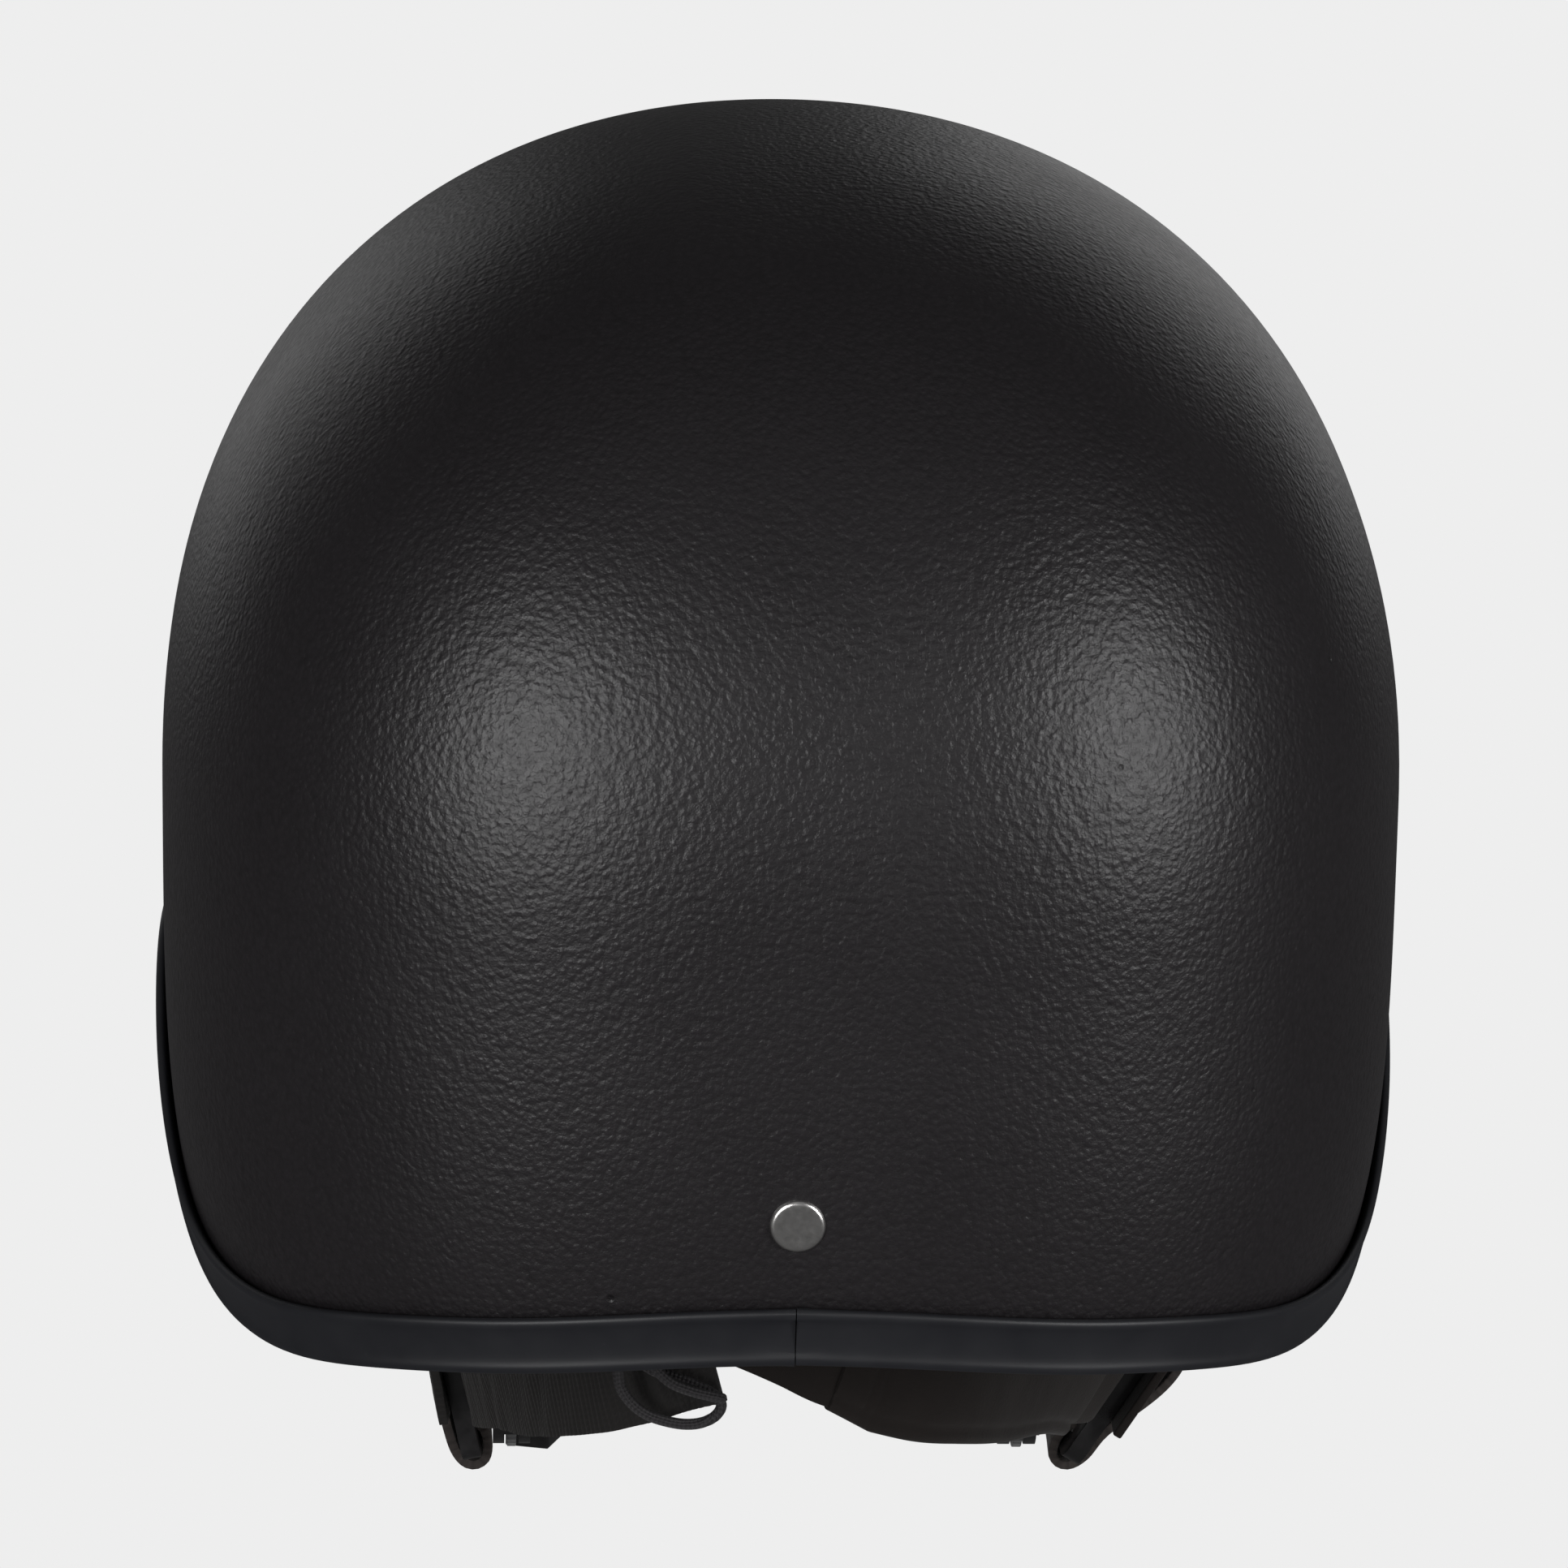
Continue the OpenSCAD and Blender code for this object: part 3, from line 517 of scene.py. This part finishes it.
rivetSeats = {"rearHeight": 24.3, "rearLean": 3.5, "sideAngle": 24.9, "sideHeight": 45, "sideTurn": 15}
lean, turn = math.radians(rivetSeats["rearLean"]), math.radians(rivetSeats["sideTurn"])
sideSeat = domePoint(rivetSeats["sideAngle"], levelAt(rivetSeats["sideHeight"]), 0)
turnRivet("rearRivet", "rear_rivet", domePoint(-90, levelAt(rivetSeats["rearHeight"]), 0),
          (0, -math.cos(lean), -math.sin(lean)))
turnRivet("sideRivetRight", "side_rivet_right", sideSeat, (math.cos(turn), math.sin(turn), 0))
turnRivet("sideRivetLeft", "side_rivet_left", (-sideSeat.x, sideSeat.y, sideSeat.z),
          (-math.cos(turn), math.sin(turn), 0))
print("helmet: rivets")


# ---- straps ----

def makeStrap(name, run, width, thickness, mirrored=False, ripple=None, girth=None, step=1.0, across=8):
    def spot(s, t):
        reach, off = s * run.length, (t - 0.5) * width
        middle, side, up = run.square(reach)
        if girth:
            off *= girth(reach)
        point = middle + side * off + up * (ripple(reach, off) if ripple else 0)
        return Vector((-point.x, point.y, point.z)) if mirrored else point
    strap = laySheet(name, max(int(run.length / step), 4), across, spot)
    strap.data.uv_layers[0].name = "weave"
    for corner in strap.data.uv_layers[0].data:
        corner.uv = (corner.uv.x * run.length, corner.uv.y * width)
    modify(strap, "SOLIDIFY", thickness=thickness * mm, offset=0, use_even_offset=False)
    mergeDoubles(strap, 0.005 * mm, True)
    modify(strap, "BEVEL", width=0.32 * mm, segments=2, limit_method="ANGLE", angle_limit=math.radians(55))
    smoothShade(strap, 55)
    return strap


def wallPoint(a, z):
    return domePoint(a, levelAt(z), 6.1)


divider = {"rightSlant": 32, "leftSlant": 12, "rightFoot": 52.5, "leftFoot": 50.7, "footHeight": -62, "middle": 12,
           "footFold": [(3.4, 6), (2.9, 1), (1.7, -1.6), (0, -2.4), (-1.8, -1.6), (-2.8, 1), (-2.7, 3.4), (-1.4, 5.5),
                        (0.4, 5.8)],
           "barFold": [(-6, -2.8), (0.3, -2.8), (2.4, -2.3), (3.2, -0.9), (3.2, 0.9), (2.4, 2.3), (0.3, 2.8),
                       (-8, 2.8)]}


def platePoint(foot, slant, y, u, n):
    c, s = math.cos(math.radians(slant)), math.sin(math.radians(slant))
    return (foot + u * s + n * c, y, divider["footHeight"] + u * c - n * s)


def plateUp(slant):
    return (math.sin(math.radians(slant)), 0, math.cos(math.radians(slant)))


strapTop = [wallPoint(26.3, 54), wallPoint(24.9, 45), wallPoint(23, 34), wallPoint(21, 23)]
sideRuns = {"right": [(88.8, 35, 8), (85, 29, -14), (78, 22, -35), (70.5, 15.5, -49.5)],
            "left": [(86.5, 34, 8), (78, 28, -15), (66.2, 21, -36), (57.8, 15, -48)]}
bandRuns = {"right": [(-6, -87.5, -0.4), (4, -87.5, -4.8), (10, -86, -8), (23, -79.5, -13.5), (31, -70, -17.5),
                      (40, -52, -24.5), (49.6, -32, -31.5), (56.5, -16, -39)],
            "left": [(13, -87, -7), (19.5, -86.5, -8.7), (25, -84, -11.2), (30, -79, -14.4), (37, -68, -19.5),
                     (43.8, -52, -25.8), (48.6, -36, -31), (52, -16, -38.5)]}
bandLean = [0, 0, 0, 0, 0, 6, 15, 25]
sideWebbing = makeWebFinish("sideWebbing", (0.008, 0.0062, 0.0056), (0.03, 0.0238, 0.0215), 1.6, 0.9, 0.1)
ribbedWebbing = makeWebFinish("ribbedWebbing", (0.0022, 0.0019, 0.0018), (0.0105, 0.009, 0.0084), 1.25, 0.8, 0.05)
webbing = makeWebFinish("webbing", (0.0045, 0.0045, 0.005), (0.02, 0.02, 0.021), 1.1, 1.3, 0.2)

strapSizes = {"side": (19, 1.6), "bandLeft": (22, 1.5), "bandRight": (22, 1.6), "tab": (18, 1.6)}  # width, thickness

for hand in ("right", "left"):
    slant, foot = divider[hand + "Slant"], divider[hand + "Foot"]
    fold = [platePoint(foot, slant, divider["middle"], u, n) for n, u in divider["footFold"]]
    strapRun = Run(strapTop + sideRuns[hand] + fold, [(-0.26, 1, 0)] * 4 + [(0, 1, 0)] * (4 + len(fold)))
    strap = makeStrap("sideStrap" + hand.title(), strapRun, *strapSizes["side"], hand == "left", step=0.8,
                      ripple=lambda reach, off: 0.12 * math.sin(reach / 7 + off / 5))
    settle(strap, sideWebbing, "helmet", ["side_strap_" + hand])
    fold = [platePoint(foot, slant, y, 21, n) for y, n in divider["barFold"]]
    leans = [plateUp(min(a, slant)) for a in bandLean] + [plateUp(slant)] * len(fold)
    bandRun = Run(bandRuns[hand] + fold, leans)
    if hand == "left":
        band = makeStrap("napeBandLeft", bandRun, *strapSizes["bandLeft"], True, step=0.35, across=16,
                         ripple=lambda reach, off: 0.1 * math.sin(reach * 5.0)
                         + 0.22 * math.sin((reach + 0.6 * off) / 1.7) * math.sin(reach / 9))
        settle(band, ribbedWebbing, "helmet", ["nape_band_left"])
    else:
        band = makeStrap("napeBandRight", bandRun, *strapSizes["bandRight"], step=0.8)
        settle(band, suede, "helmet", ["nape_band_right"])
        sleeveRun = Run(bandRuns[hand][2:], leans[2:8])

tabRun = Run([(0, -113.8, 33), (0, -113.6, 24.3), (0, -112.8, 12), (0, -111.2, 3), (0, -109.6, -0.8), (0, -105.5, -2),
              (0, -95, -2), (0, -91, -2.6), (0, -89.5, -4.5), (0, -89.4, -9)], [(1, 0, 0)] * 10)
tab = makeStrap("rearTab", tabRun, *strapSizes["tab"], step=0.8)
settle(tab, webbing, "helmet", ["rear_tab"])
print("helmet: side straps and nape bands")

sleeveShape = {"width": 27, "startWidth": 23, "half": 2.55, "edge": 0.45, "seams": (6.2, 8.0), "stitch": 2.6,
               "edgePitch": 2.9, "edgeLift": 1.75, "seamPitch": 2.1, "seamLift": 1.6, "seamHalf": 9.5}


def sleeveSpot(s, t):
    reach = s * sleeveRun.length
    middle, side, up = sleeveRun.square(reach)
    share = math.cos(2 * math.pi * t)
    swing = math.sin(2 * math.pi * t)
    widen = min(reach / 9, 1)
    half = (sleeveShape["startWidth"] + (sleeveShape["width"] - sleeveShape["startWidth"]) * widen) / 2
    x = math.copysign(abs(share) ** 0.85, share)
    ends = min(reach, sleeveRun.length - reach)
    puff = (sleeveShape["half"] - 1.35) * (1 - math.exp(-ends / 2.5)) * (1 - abs(x) ** 3) ** 0.7 + 1.35
    puff = sleeveShape["edge"] + (puff - sleeveShape["edge"]) * (1 - abs(x) ** 6) ** 0.5
    puff -= 0.55 * math.exp(-((abs(x) * half - half + sleeveShape["stitch"]) / 0.7) ** 2) * (puff > 0.9)
    for seam in sleeveShape["seams"]:
        puff -= 0.5 * math.exp(-((reach - seam) / 0.55) ** 2) * (1 - abs(x) ** 4)
    crease = (0.14 * noise.noise(Vector((reach / 9, x * half / 9, 3)))
              + 0.05 * noise.noise(Vector((reach / 4, x * half / 4, 9))))
    return middle + side * (x * half) + up * (max(min(swing * 5, 1), -1) * puff + crease * (1 - abs(x) ** 8))


def tuckEnds(piece):
    # closes the two open rings of a tube
    takeUp(piece)
    bpy.context.tool_settings.mesh_select_mode = (False, True, False)
    bpy.ops.object.mode_set(mode="EDIT")
    bpy.ops.mesh.select_all(action="DESELECT")
    bpy.ops.mesh.select_non_manifold(extend=False)
    bpy.ops.mesh.fill_holes(sides=0)
    bpy.ops.object.mode_set(mode="OBJECT")


sleeve = laySheet("napeSleeve", 200, 64, sleeveSpot)
mergeDoubles(sleeve, 0.01 * mm)
tuckEnds(sleeve)
mergeDoubles(sleeve, 0.001 * mm, True)
smoothShade(sleeve, 60)
settle(sleeve, suede, "helmet", ["nape_sleeve"])


def sewLine(name, run, offsets, first, last, pitch, lift, finish, body, turned=False):
    # one rounded stitch, copied along a run on the given offsets from its middle
    clearSelection()
    bpy.ops.mesh.primitive_uv_sphere_add(segments=8, ring_count=6, radius=1 * mm)
    stitch = bpy.context.object
    stitch.data.transform(Matrix.Diagonal((pitch * 0.36, 0.26, 0.26, 1)))
    made = []
    for offset in offsets:
        for k in range(int((last - first) / pitch) + 1):
            middle, side, up = run.square(first if turned else first + k * pitch)
            off = offset + k * pitch if turned else offset
            heading = side if turned else side.cross(up)
            spread = up.cross(heading)
            copy = bpy.data.objects.new(name, stitch.data.copy())
            bpy.context.scene.collection.objects.link(copy)
            frameOf = Matrix((heading, spread, up)).transposed().to_4x4()
            copy.data.transform(frameOf)
            point = middle + side * off + up * lift
            copy.data.transform(Matrix.Translation(point * mm))
            made.append(copy)
    bpy.data.objects.remove(stitch)
    line = joinPieces(made, name)
    mergeDoubles(line, 0.0001 * mm, True)
    smoothShade(line, 80)
    settle(line, finish, body)


thread = makeKnitFinish("thread", (0.02, 0.018, 0.017), (0.05, 0.045, 0.042), 0.0003)
edge = sleeveShape["width"] / 2 - sleeveShape["stitch"]
sewLine("sleeveStitches", sleeveRun, (-edge, edge), 10, sleeveRun.length - 3, sleeveShape["edgePitch"],
        sleeveShape["edgeLift"], thread, "helmet")
seamStart, seamHalf = sleeveShape["seams"][0], sleeveShape["seamHalf"]
sewLine("sleeveSeam", sleeveRun, (-seamHalf,), seamStart, seamStart + 2 * seamHalf, sleeveShape["seamPitch"],
        sleeveShape["seamLift"], thread, "helmet", turned=True)
print("helmet: padded sleeve")

laceShape = {"diameter": 1.8, "lean": (0.35, 0.1, 0.3), "route": [
    (-9.8, -94, -14.7), (-12.5, -93.6, -14.2), (-16, -93.4, -13.3), (-19, -93.2, -12), (-21.5, -92.8, -9.5),
    (-22.5, -92.2, -6), (-21.5, -91, -3), (-18.6, -90, -1.4), (-17, -88.5, -1), (-17, -85.2, -1),
    (-15.9, -83.6, -0.8), (-13.2, -83.3, 0), (-10, -83.7, 1), (-6, -84, 2), (-3, -84.1, 2.4),
    (-1, -85.5, 2.5), (-1, -88.8, 2.5), (-2, -90.6, 3), (-5, -91, 4.4), (-9, -91, 6), (-14, -91, 6.6),
    (-19, -91, 5.6), (-23.5, -91, 2.5), (-26.5, -91, -2), (-27.4, -91, -6.5), (-27.4, -91, -10.5),
    (-26.9, -91.2, -13.7), (-25, -91.6, -16.4), (-22.5, -91.8, -18.2), (-19.5, -92, -19.2),
    (-16.5, -92, -19.7), (-13.8, -92, -19.4), (-11.6, -92, -18.2), (-10.7, -91.8, -16.4),
    (-12.2, -91.2, -14.7), (-15, -90.6, -13.4), (-18, -90.2, -12.4), (-21.5, -90, -11.3), (-24, -90, -9.6)]}
laceRun = Run(laceShape["route"], [laceShape["lean"]] * len(laceShape["route"]))


def laceSpot(s, t):
    reach = s * laceRun.length
    middle, side, up = laceRun.square(reach)
    r = laceShape["diameter"] / 2
    fromEnd = min(reach, laceRun.length - reach)
    if fromEnd < r:
        r *= math.sqrt(max(1 - (1 - fromEnd / r) ** 2, 0.0001))
    turn = -2 * math.pi * t
    return middle + (side * math.cos(turn) + up * math.sin(turn)) * r


lace = laySheet("napeLace", int(laceRun.length / 0.3), 12, laceSpot)
lace.data.uv_layers[0].name = "weave"
for corner in lace.data.uv_layers[0].data:
    corner.uv = (corner.uv.x * laceRun.length, corner.uv.y * math.pi * laceShape["diameter"])
mergeDoubles(lace, 0.02 * mm, True)
tuckEnds(lace)
smoothShade(lace, 80)
laceCord = makeLaceFinish(laceShape["diameter"])
settle(lace, laceCord, "helmet", ["nape_lace"])
centreline = [laceRun.spot(laceRun.length * k / 120)[0] * mm for k in range(121)]
laceLength = sum((b - a).length for a, b in zip(centreline, centreline[1:]))
print("helmet: nape lace,", round(laceLength * 1000), "mm")


# ---- chin strap ----

chin = {"pivot": (44, 12, -55), "tilt": 4, "elbow": 8, "straight": 62, "turn": 18, "width": 18, "thickness": 1.6,
        "tailStand": 1.62, "tailThickness": 1.5}
turnIn = math.radians(chin["turn"])
chinCorner = (chin["pivot"][0] - chin["straight"] * math.sin(turnIn),
              chin["elbow"] + chin["straight"] * math.cos(turnIn))
arcRadius = chinCorner[0] / math.cos(turnIn)
arcMiddle = chinCorner[1] - arcRadius * math.sin(turnIn)
tiltTurn = Matrix.Rotation(math.radians(-chin["tilt"]), 3, "X")


def chinPoint(x, y, z=0):
    return tiltTurn @ Vector((x, y, z)) + Vector((0, chin["pivot"][1], chin["pivot"][2]))


def straightPoint(s, out=0):
    # along the right straight, s from its elbow, out to the side
    return chinPoint(chin["pivot"][0] - s * math.sin(turnIn) + out * math.cos(turnIn),
                     chin["elbow"] + s * math.cos(turnIn) + out * math.sin(turnIn))


def roundEnd(reach):
    # the webbing's end at its pivot is cut round
    half = chin["width"] / 2
    return math.sqrt(max(half ** 2 - (half - reach) ** 2, 2.0)) / half if reach < half else 1


start = [chinPoint(chin["pivot"][0], y) for y in (-9, -4.5, 0, 4, 7)]
straight = [straightPoint(s) for s in (2, 8, 16, 24, 32, 40, 48, 56)]
arc = [chinPoint(arcRadius * math.cos(a), arcMiddle + arcRadius * math.sin(a))
       for a in (turnIn + (math.pi - 2 * turnIn) * k / 24 for k in range(25))]
back = [Vector((-p.x, p.y, p.z)) for p in (straightPoint(s) for s in (56, 48, 40, 32.5))]
chinUp = tiltTurn @ Vector((0, 0, 1))
rightRun = Run(start + straight + arc + back, [chinUp] * (len(start + straight + arc + back)))
chinRight = makeStrap("chinWebRight", rightRun, chin["width"], chin["thickness"], girth=roundEnd, step=0.9)
tailRun = Run([straightPoint(s, chin["tailStand"]) for s in (12, 20, 28, 36, 44, 50)], [chinUp] * 6)
tailPiece = makeStrap("chinTail", tailRun, chin["width"], chin["tailThickness"], step=0.9)
joinPieces([chinRight, tailPiece], "chinWebRight")
settle(chinRight, webbing, "chin_strap", ["chin_web_right"])
leftPoints = start + [straightPoint(s) for s in (2, 5, 8, 11)]
chinLeft = makeStrap("chinWebLeft", Run(leftPoints, [chinUp] * len(leftPoints)), chin["width"], chin["thickness"],
                     True, girth=roundEnd, step=0.9)
settle(chinLeft, webbing, "chin_strap", ["chin_web_left"])
print("helmet: chin webbing")


# ---- moulded parts ----

moulded = {"ear_divider_left": ("earDividerLeft", 0.5, glossPlastic, "gloss_plastic"),
           "ear_divider_right": ("earDividerRight", 0.5, glossPlastic, "gloss_plastic"),
           "buckle_socket": ("buckleSocket", 0.6, glossPlastic, "gloss_plastic"),
           "buckle_plug": ("bucklePlug", 0.4, glossPlastic, "gloss_plastic"),
           "buckle_prong_upper": ("buckleProngUpper", 0.3, glossPlastic, "gloss_plastic"),
           "buckle_prong_lower": ("buckleProngLower", 0.3, glossPlastic, "gloss_plastic"),
           "tri_glide": ("triGlide", 0.4, glossPlastic, "gloss_plastic"),
           "strap_keeper": ("strapKeeper", 0.35, keeperRubber, "keeper_rubber")}
for node, (name, bevel, finish, slotName) in moulded.items():
    body = nodes[node]["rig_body"]
    part = copyNode(node, name)
    takeUp(part)
    bpy.ops.object.mode_set(mode="EDIT")
    bpy.ops.mesh.select_all(action="SELECT")
    bpy.ops.mesh.dissolve_limited(angle_limit=math.radians(1))
    bpy.ops.object.mode_set(mode="OBJECT")
    modify(part, "BEVEL", width=bevel * mm, segments=3, limit_method="ANGLE", angle_limit=math.radians(40),
           use_clamp_overlap=True, harden_normals=False)
    smoothShade(part, 35)
    settle(part, finish, body, [node])
print("helmet: dividers and buckle")

for node, finish, slotName in (("foam_liner", linerFoam, "liner_foam"), ("hook_patches", hookTape, "hook_tape"),
                               ("rivet_washers", washerSteel, "washer_steel"),
                               ("lace_eyelets", eyeletMetal, "eyelet_metal"),
                               ("pivot_pin_left", washerSteel, "washer_steel"),
                               ("pivot_pin_right", washerSteel, "washer_steel")):
    nodes[node].data.materials.clear()
    nodes[node].data.materials.append(finish)


# ---- padded lining ----

def swellPad(piece, voxel, pressure, cap, outward, held=None):
    # foam under cloth: remeshed, blown up a little, and kept from pushing into what is behind it
    modify(piece, "REMESH", mode="VOXEL", voxel_size=voxel * mm)
    rest = [vertex.co.copy() for vertex in piece.data.vertices]
    takeUp(piece)
    bpy.ops.object.modifier_add(type="CLOTH")
    cloth = piece.modifiers[-1]
    cloth.settings.quality = 5
    cloth.settings.mass = 0.2
    cloth.settings.tension_stiffness = cloth.settings.compression_stiffness = 18
    cloth.settings.use_pressure = True
    cloth.settings.uniform_pressure_force = pressure
    cloth.settings.effector_weights.gravity = 0
    for frameNumber in range(1, 21):
        bpy.context.scene.frame_set(frameNumber)
    bpy.ops.object.modifier_apply(modifier=cloth.name)
    bpy.context.scene.frame_set(1)
    for vertex, old in zip(piece.data.vertices, rest):
        move = vertex.co - old
        away = outward(old)
        if move.length > cap * mm:
            move = move.normalized() * cap * mm
        behind = move.dot(away)
        if behind > 0.15 * mm:
            move -= away * (behind - 0.15 * mm)
        if held and held(old):
            move = Vector((0, 0, 0))
        vertex.co = old + move
    modify(piece, "SMOOTH", factor=0.5, iterations=2)
    modify(piece, "SUBSURF", levels=1, render_levels=1)


def fromHead(point):
    return (point - Vector((0, 0, 0.05))).normalized()


def pressSeams(piece, depth, width, distance):
    # sewn channels: points near a seam line sink towards the middle of the pad
    normals = [vertex.normal.copy() for vertex in piece.data.vertices]
    for vertex, normal in zip(piece.data.vertices, normals):
        gap = distance(vertex.co / mm)
        if gap < 3 * width:
            vertex.co -= normal * (depth * mm * math.exp(-(gap / width) ** 2))


def levelOf(z, depth):
    share = (z - dome["widest"]) / (dome["crown"] - depth - dome["widest"])
    return math.degrees(math.asin(min(max(share, 0), 1) ** (dome["crownSquare"] / 2)))


def padBorder(mid, half, low, high, inset):
    def distance(point):
        a = (math.degrees(math.atan2(point.y, point.x)) - mid + 180) % 360 - 180
        r = math.hypot(point.x, point.y)
        sides = (half - abs(a)) * math.pi / 180 * r
        e = levelOf(point.z, 24)
        ends = min(e - low, high - e) * 1.45
        border = min(sides, ends)
        quilt = min(abs(a) * math.pi / 180 * r, 99) if border > inset + 2 else 99
        return min(abs(border - inset), quilt)
    return distance


swelling = {"pads": (2.4, 4.0, 1.6), "crown": (2.6, 4.0, 1.6), "bands": (2.2, 4.0, 1.3),
            "chin": (1.2, 2.5, 1.2)}  # voxel, pressure, most swelling
liningPads = {"lining_pad_front": ("liningPadFront", 90, 26), "lining_pad_rear": ("liningPadRear", -90, 26),
              "lining_pad_left": ("liningPadLeft", 180, 30), "lining_pad_right": ("liningPadRight", 0, 30)}
for node, (name, mid, half) in liningPads.items():
    pad = copyNode(node, name)
    swellPad(pad, *swelling["pads"], fromHead)
    modify(pad, "SUBSURF", levels=1, render_levels=1)
    pressSeams(pad, 0.75, 1.0, padBorder(mid, half, 8, 52, 5))
    smoothShade(pad, 80)
    settle(pad, liningFabric, "helmet", [node])


def crownBorder(point):
    a = math.degrees(math.atan2(point.y, point.x))
    r = math.hypot(point.x, point.y * 0.8)
    spoke = abs((a + 30) % 60 - 30) * math.pi / 180 * r
    return min(abs(r - 38), spoke if 12 < r < 38 else 99, abs(r - 12))


crown = copyNode("crown_pad", "crownPad")
swellPad(crown, *swelling["crown"], fromHead)
modify(crown, "SUBSURF", levels=1, render_levels=1)
pressSeams(crown, 0.75, 1.0, crownBorder)
smoothShade(crown, 80)
settle(crown, liningFabric, "helmet", ["crown_pad"])


def bandBorder(point):
    h = point.z - rimHeight(math.degrees(math.atan2(point.y, point.x)))
    low = 4 if point.y > 0 else 16
    return min(abs(h - low - 4), abs(h - low - 22))


for node, name in (("headband_front", "headbandFront"), ("headband_rear", "headbandRear")):
    band = copyNode(node, name)
    swellPad(band, *swelling["bands"], fromHead)
    modify(band, "SUBSURF", levels=1, render_levels=1)
    pressSeams(band, 0.6, 0.9, bandBorder)
    smoothShade(band, 80)
    settle(band, headbandFabric, "helmet", [node])
print("helmet: lining")


def fromChin(point):
    return Vector((0, 0, 0))


def byWebbing(point):
    # the slot that the webbing runs in keeps its shape
    local = tiltTurn.transposed() @ (point / mm - Vector((0, chin["pivot"][1], chin["pivot"][2])))
    r = math.hypot(local.x, local.y - arcMiddle)
    return abs(r - arcRadius) < 1.7 and abs(local.z) < 10.2


chinPad = copyNode("chin_pad", "chinPad")
swellPad(chinPad, *swelling["chin"], fromChin, byWebbing)
smoothShade(chinPad, 80)
settle(chinPad, liningFabric, "chin_cushion", ["chin_pad"])
print("helmet: chin pad")


# ---- studio ----

studio = {"pale": 0.855, "floorHeight": -3.2, "worldTone": 0.07,
          "boxes": [(-31, 14, 1.5, 0.55, 0.85, 16.5), (49, 14, 1.5, 0.55, 0.85, 16.5), (8, 72, 1.7, 1.2, 1.2, 0.5),
                    (158, 10, 1.5, 0.75, 0.95, 1.6), (-152, 10, 1.5, 0.75, 0.95, 1.2)]}


def makePaleFinish(name):
    pale = bpy.data.materials.new(name)
    pale.use_nodes = True
    shader = pale.node_tree.nodes["Principled BSDF"]
    shader.inputs["Base Color"].default_value = (0, 0, 0, 1)
    shader.inputs["Specular IOR Level"].default_value = 0
    shader.inputs["Emission Color"].default_value = (studio["pale"],) * 3 + (1,)
    shader.inputs["Emission Strength"].default_value = 1
    return pale


paleFinish = makePaleFinish("palePaint")
clearSelection()
bpy.ops.mesh.primitive_plane_add(size=160, location=(0, 0, studio["floorHeight"]))
floor = bpy.context.object
floor.name = "floor"
floor.data.materials.append(paleFinish)
floor.visible_glossy = False
clearSelection()
bpy.ops.mesh.primitive_uv_sphere_add(segments=48, ring_count=24, radius=15)
backdrop = bpy.context.object
backdrop.name = "backdrop"
backdrop.data.materials.append(paleFinish)
backdrop.visible_diffuse = backdrop.visible_glossy = backdrop.visible_shadow = False
backdrop.visible_transmission = backdrop.visible_volume_scatter = False

world = bpy.data.worlds.new("studio")
bpy.context.scene.world = world
world.use_nodes = True
world.node_tree.nodes["Background"].inputs["Color"].default_value = (studio["worldTone"],) * 3 + (1,)

middle = Vector((0, 0, 0.08))
for k, (turnTo, rise, away, wide, high, power) in enumerate(studio["boxes"]):
    a, e = math.radians(turnTo), math.radians(rise)
    direction = Vector((math.sin(a) * math.cos(e), -math.cos(a) * math.cos(e), math.sin(e)))
    bpy.ops.object.light_add(type="AREA", location=middle + direction * away)
    box = bpy.context.object
    box.name = "softbox%d" % (k + 1)
    box.data.shape = "RECTANGLE"
    box.data.size, box.data.size_y, box.data.energy = wide, high, power
    box.rotation_mode = "QUATERNION"
    box.rotation_quaternion = direction.to_track_quat("Z", "Y")

mainView = {"azimuth": -2.2, "elevation": 17, "distance": 1.4, "aim": (0.00135, 0, 0.0601), "roll": 0.9, "lens": 190.2}
a, e = math.radians(mainView["azimuth"]), math.radians(mainView["elevation"])
towards = Vector((math.sin(a) * math.cos(e), -math.cos(a) * math.cos(e), math.sin(e)))
bpy.ops.object.camera_add(location=Vector(mainView["aim"]) + towards * mainView["distance"])
camera = bpy.context.object
camera.data.lens, camera.data.sensor_width = mainView["lens"], 36
camera.rotation_mode = "QUATERNION"
camera.rotation_quaternion = towards.to_track_quat("Z", "Y") @ Quaternion((0, 0, 1), math.radians(mainView["roll"]))
bpy.context.scene.camera = camera
bpy.context.scene.view_settings.view_transform = "Standard"
print("helmet: studio and camera")
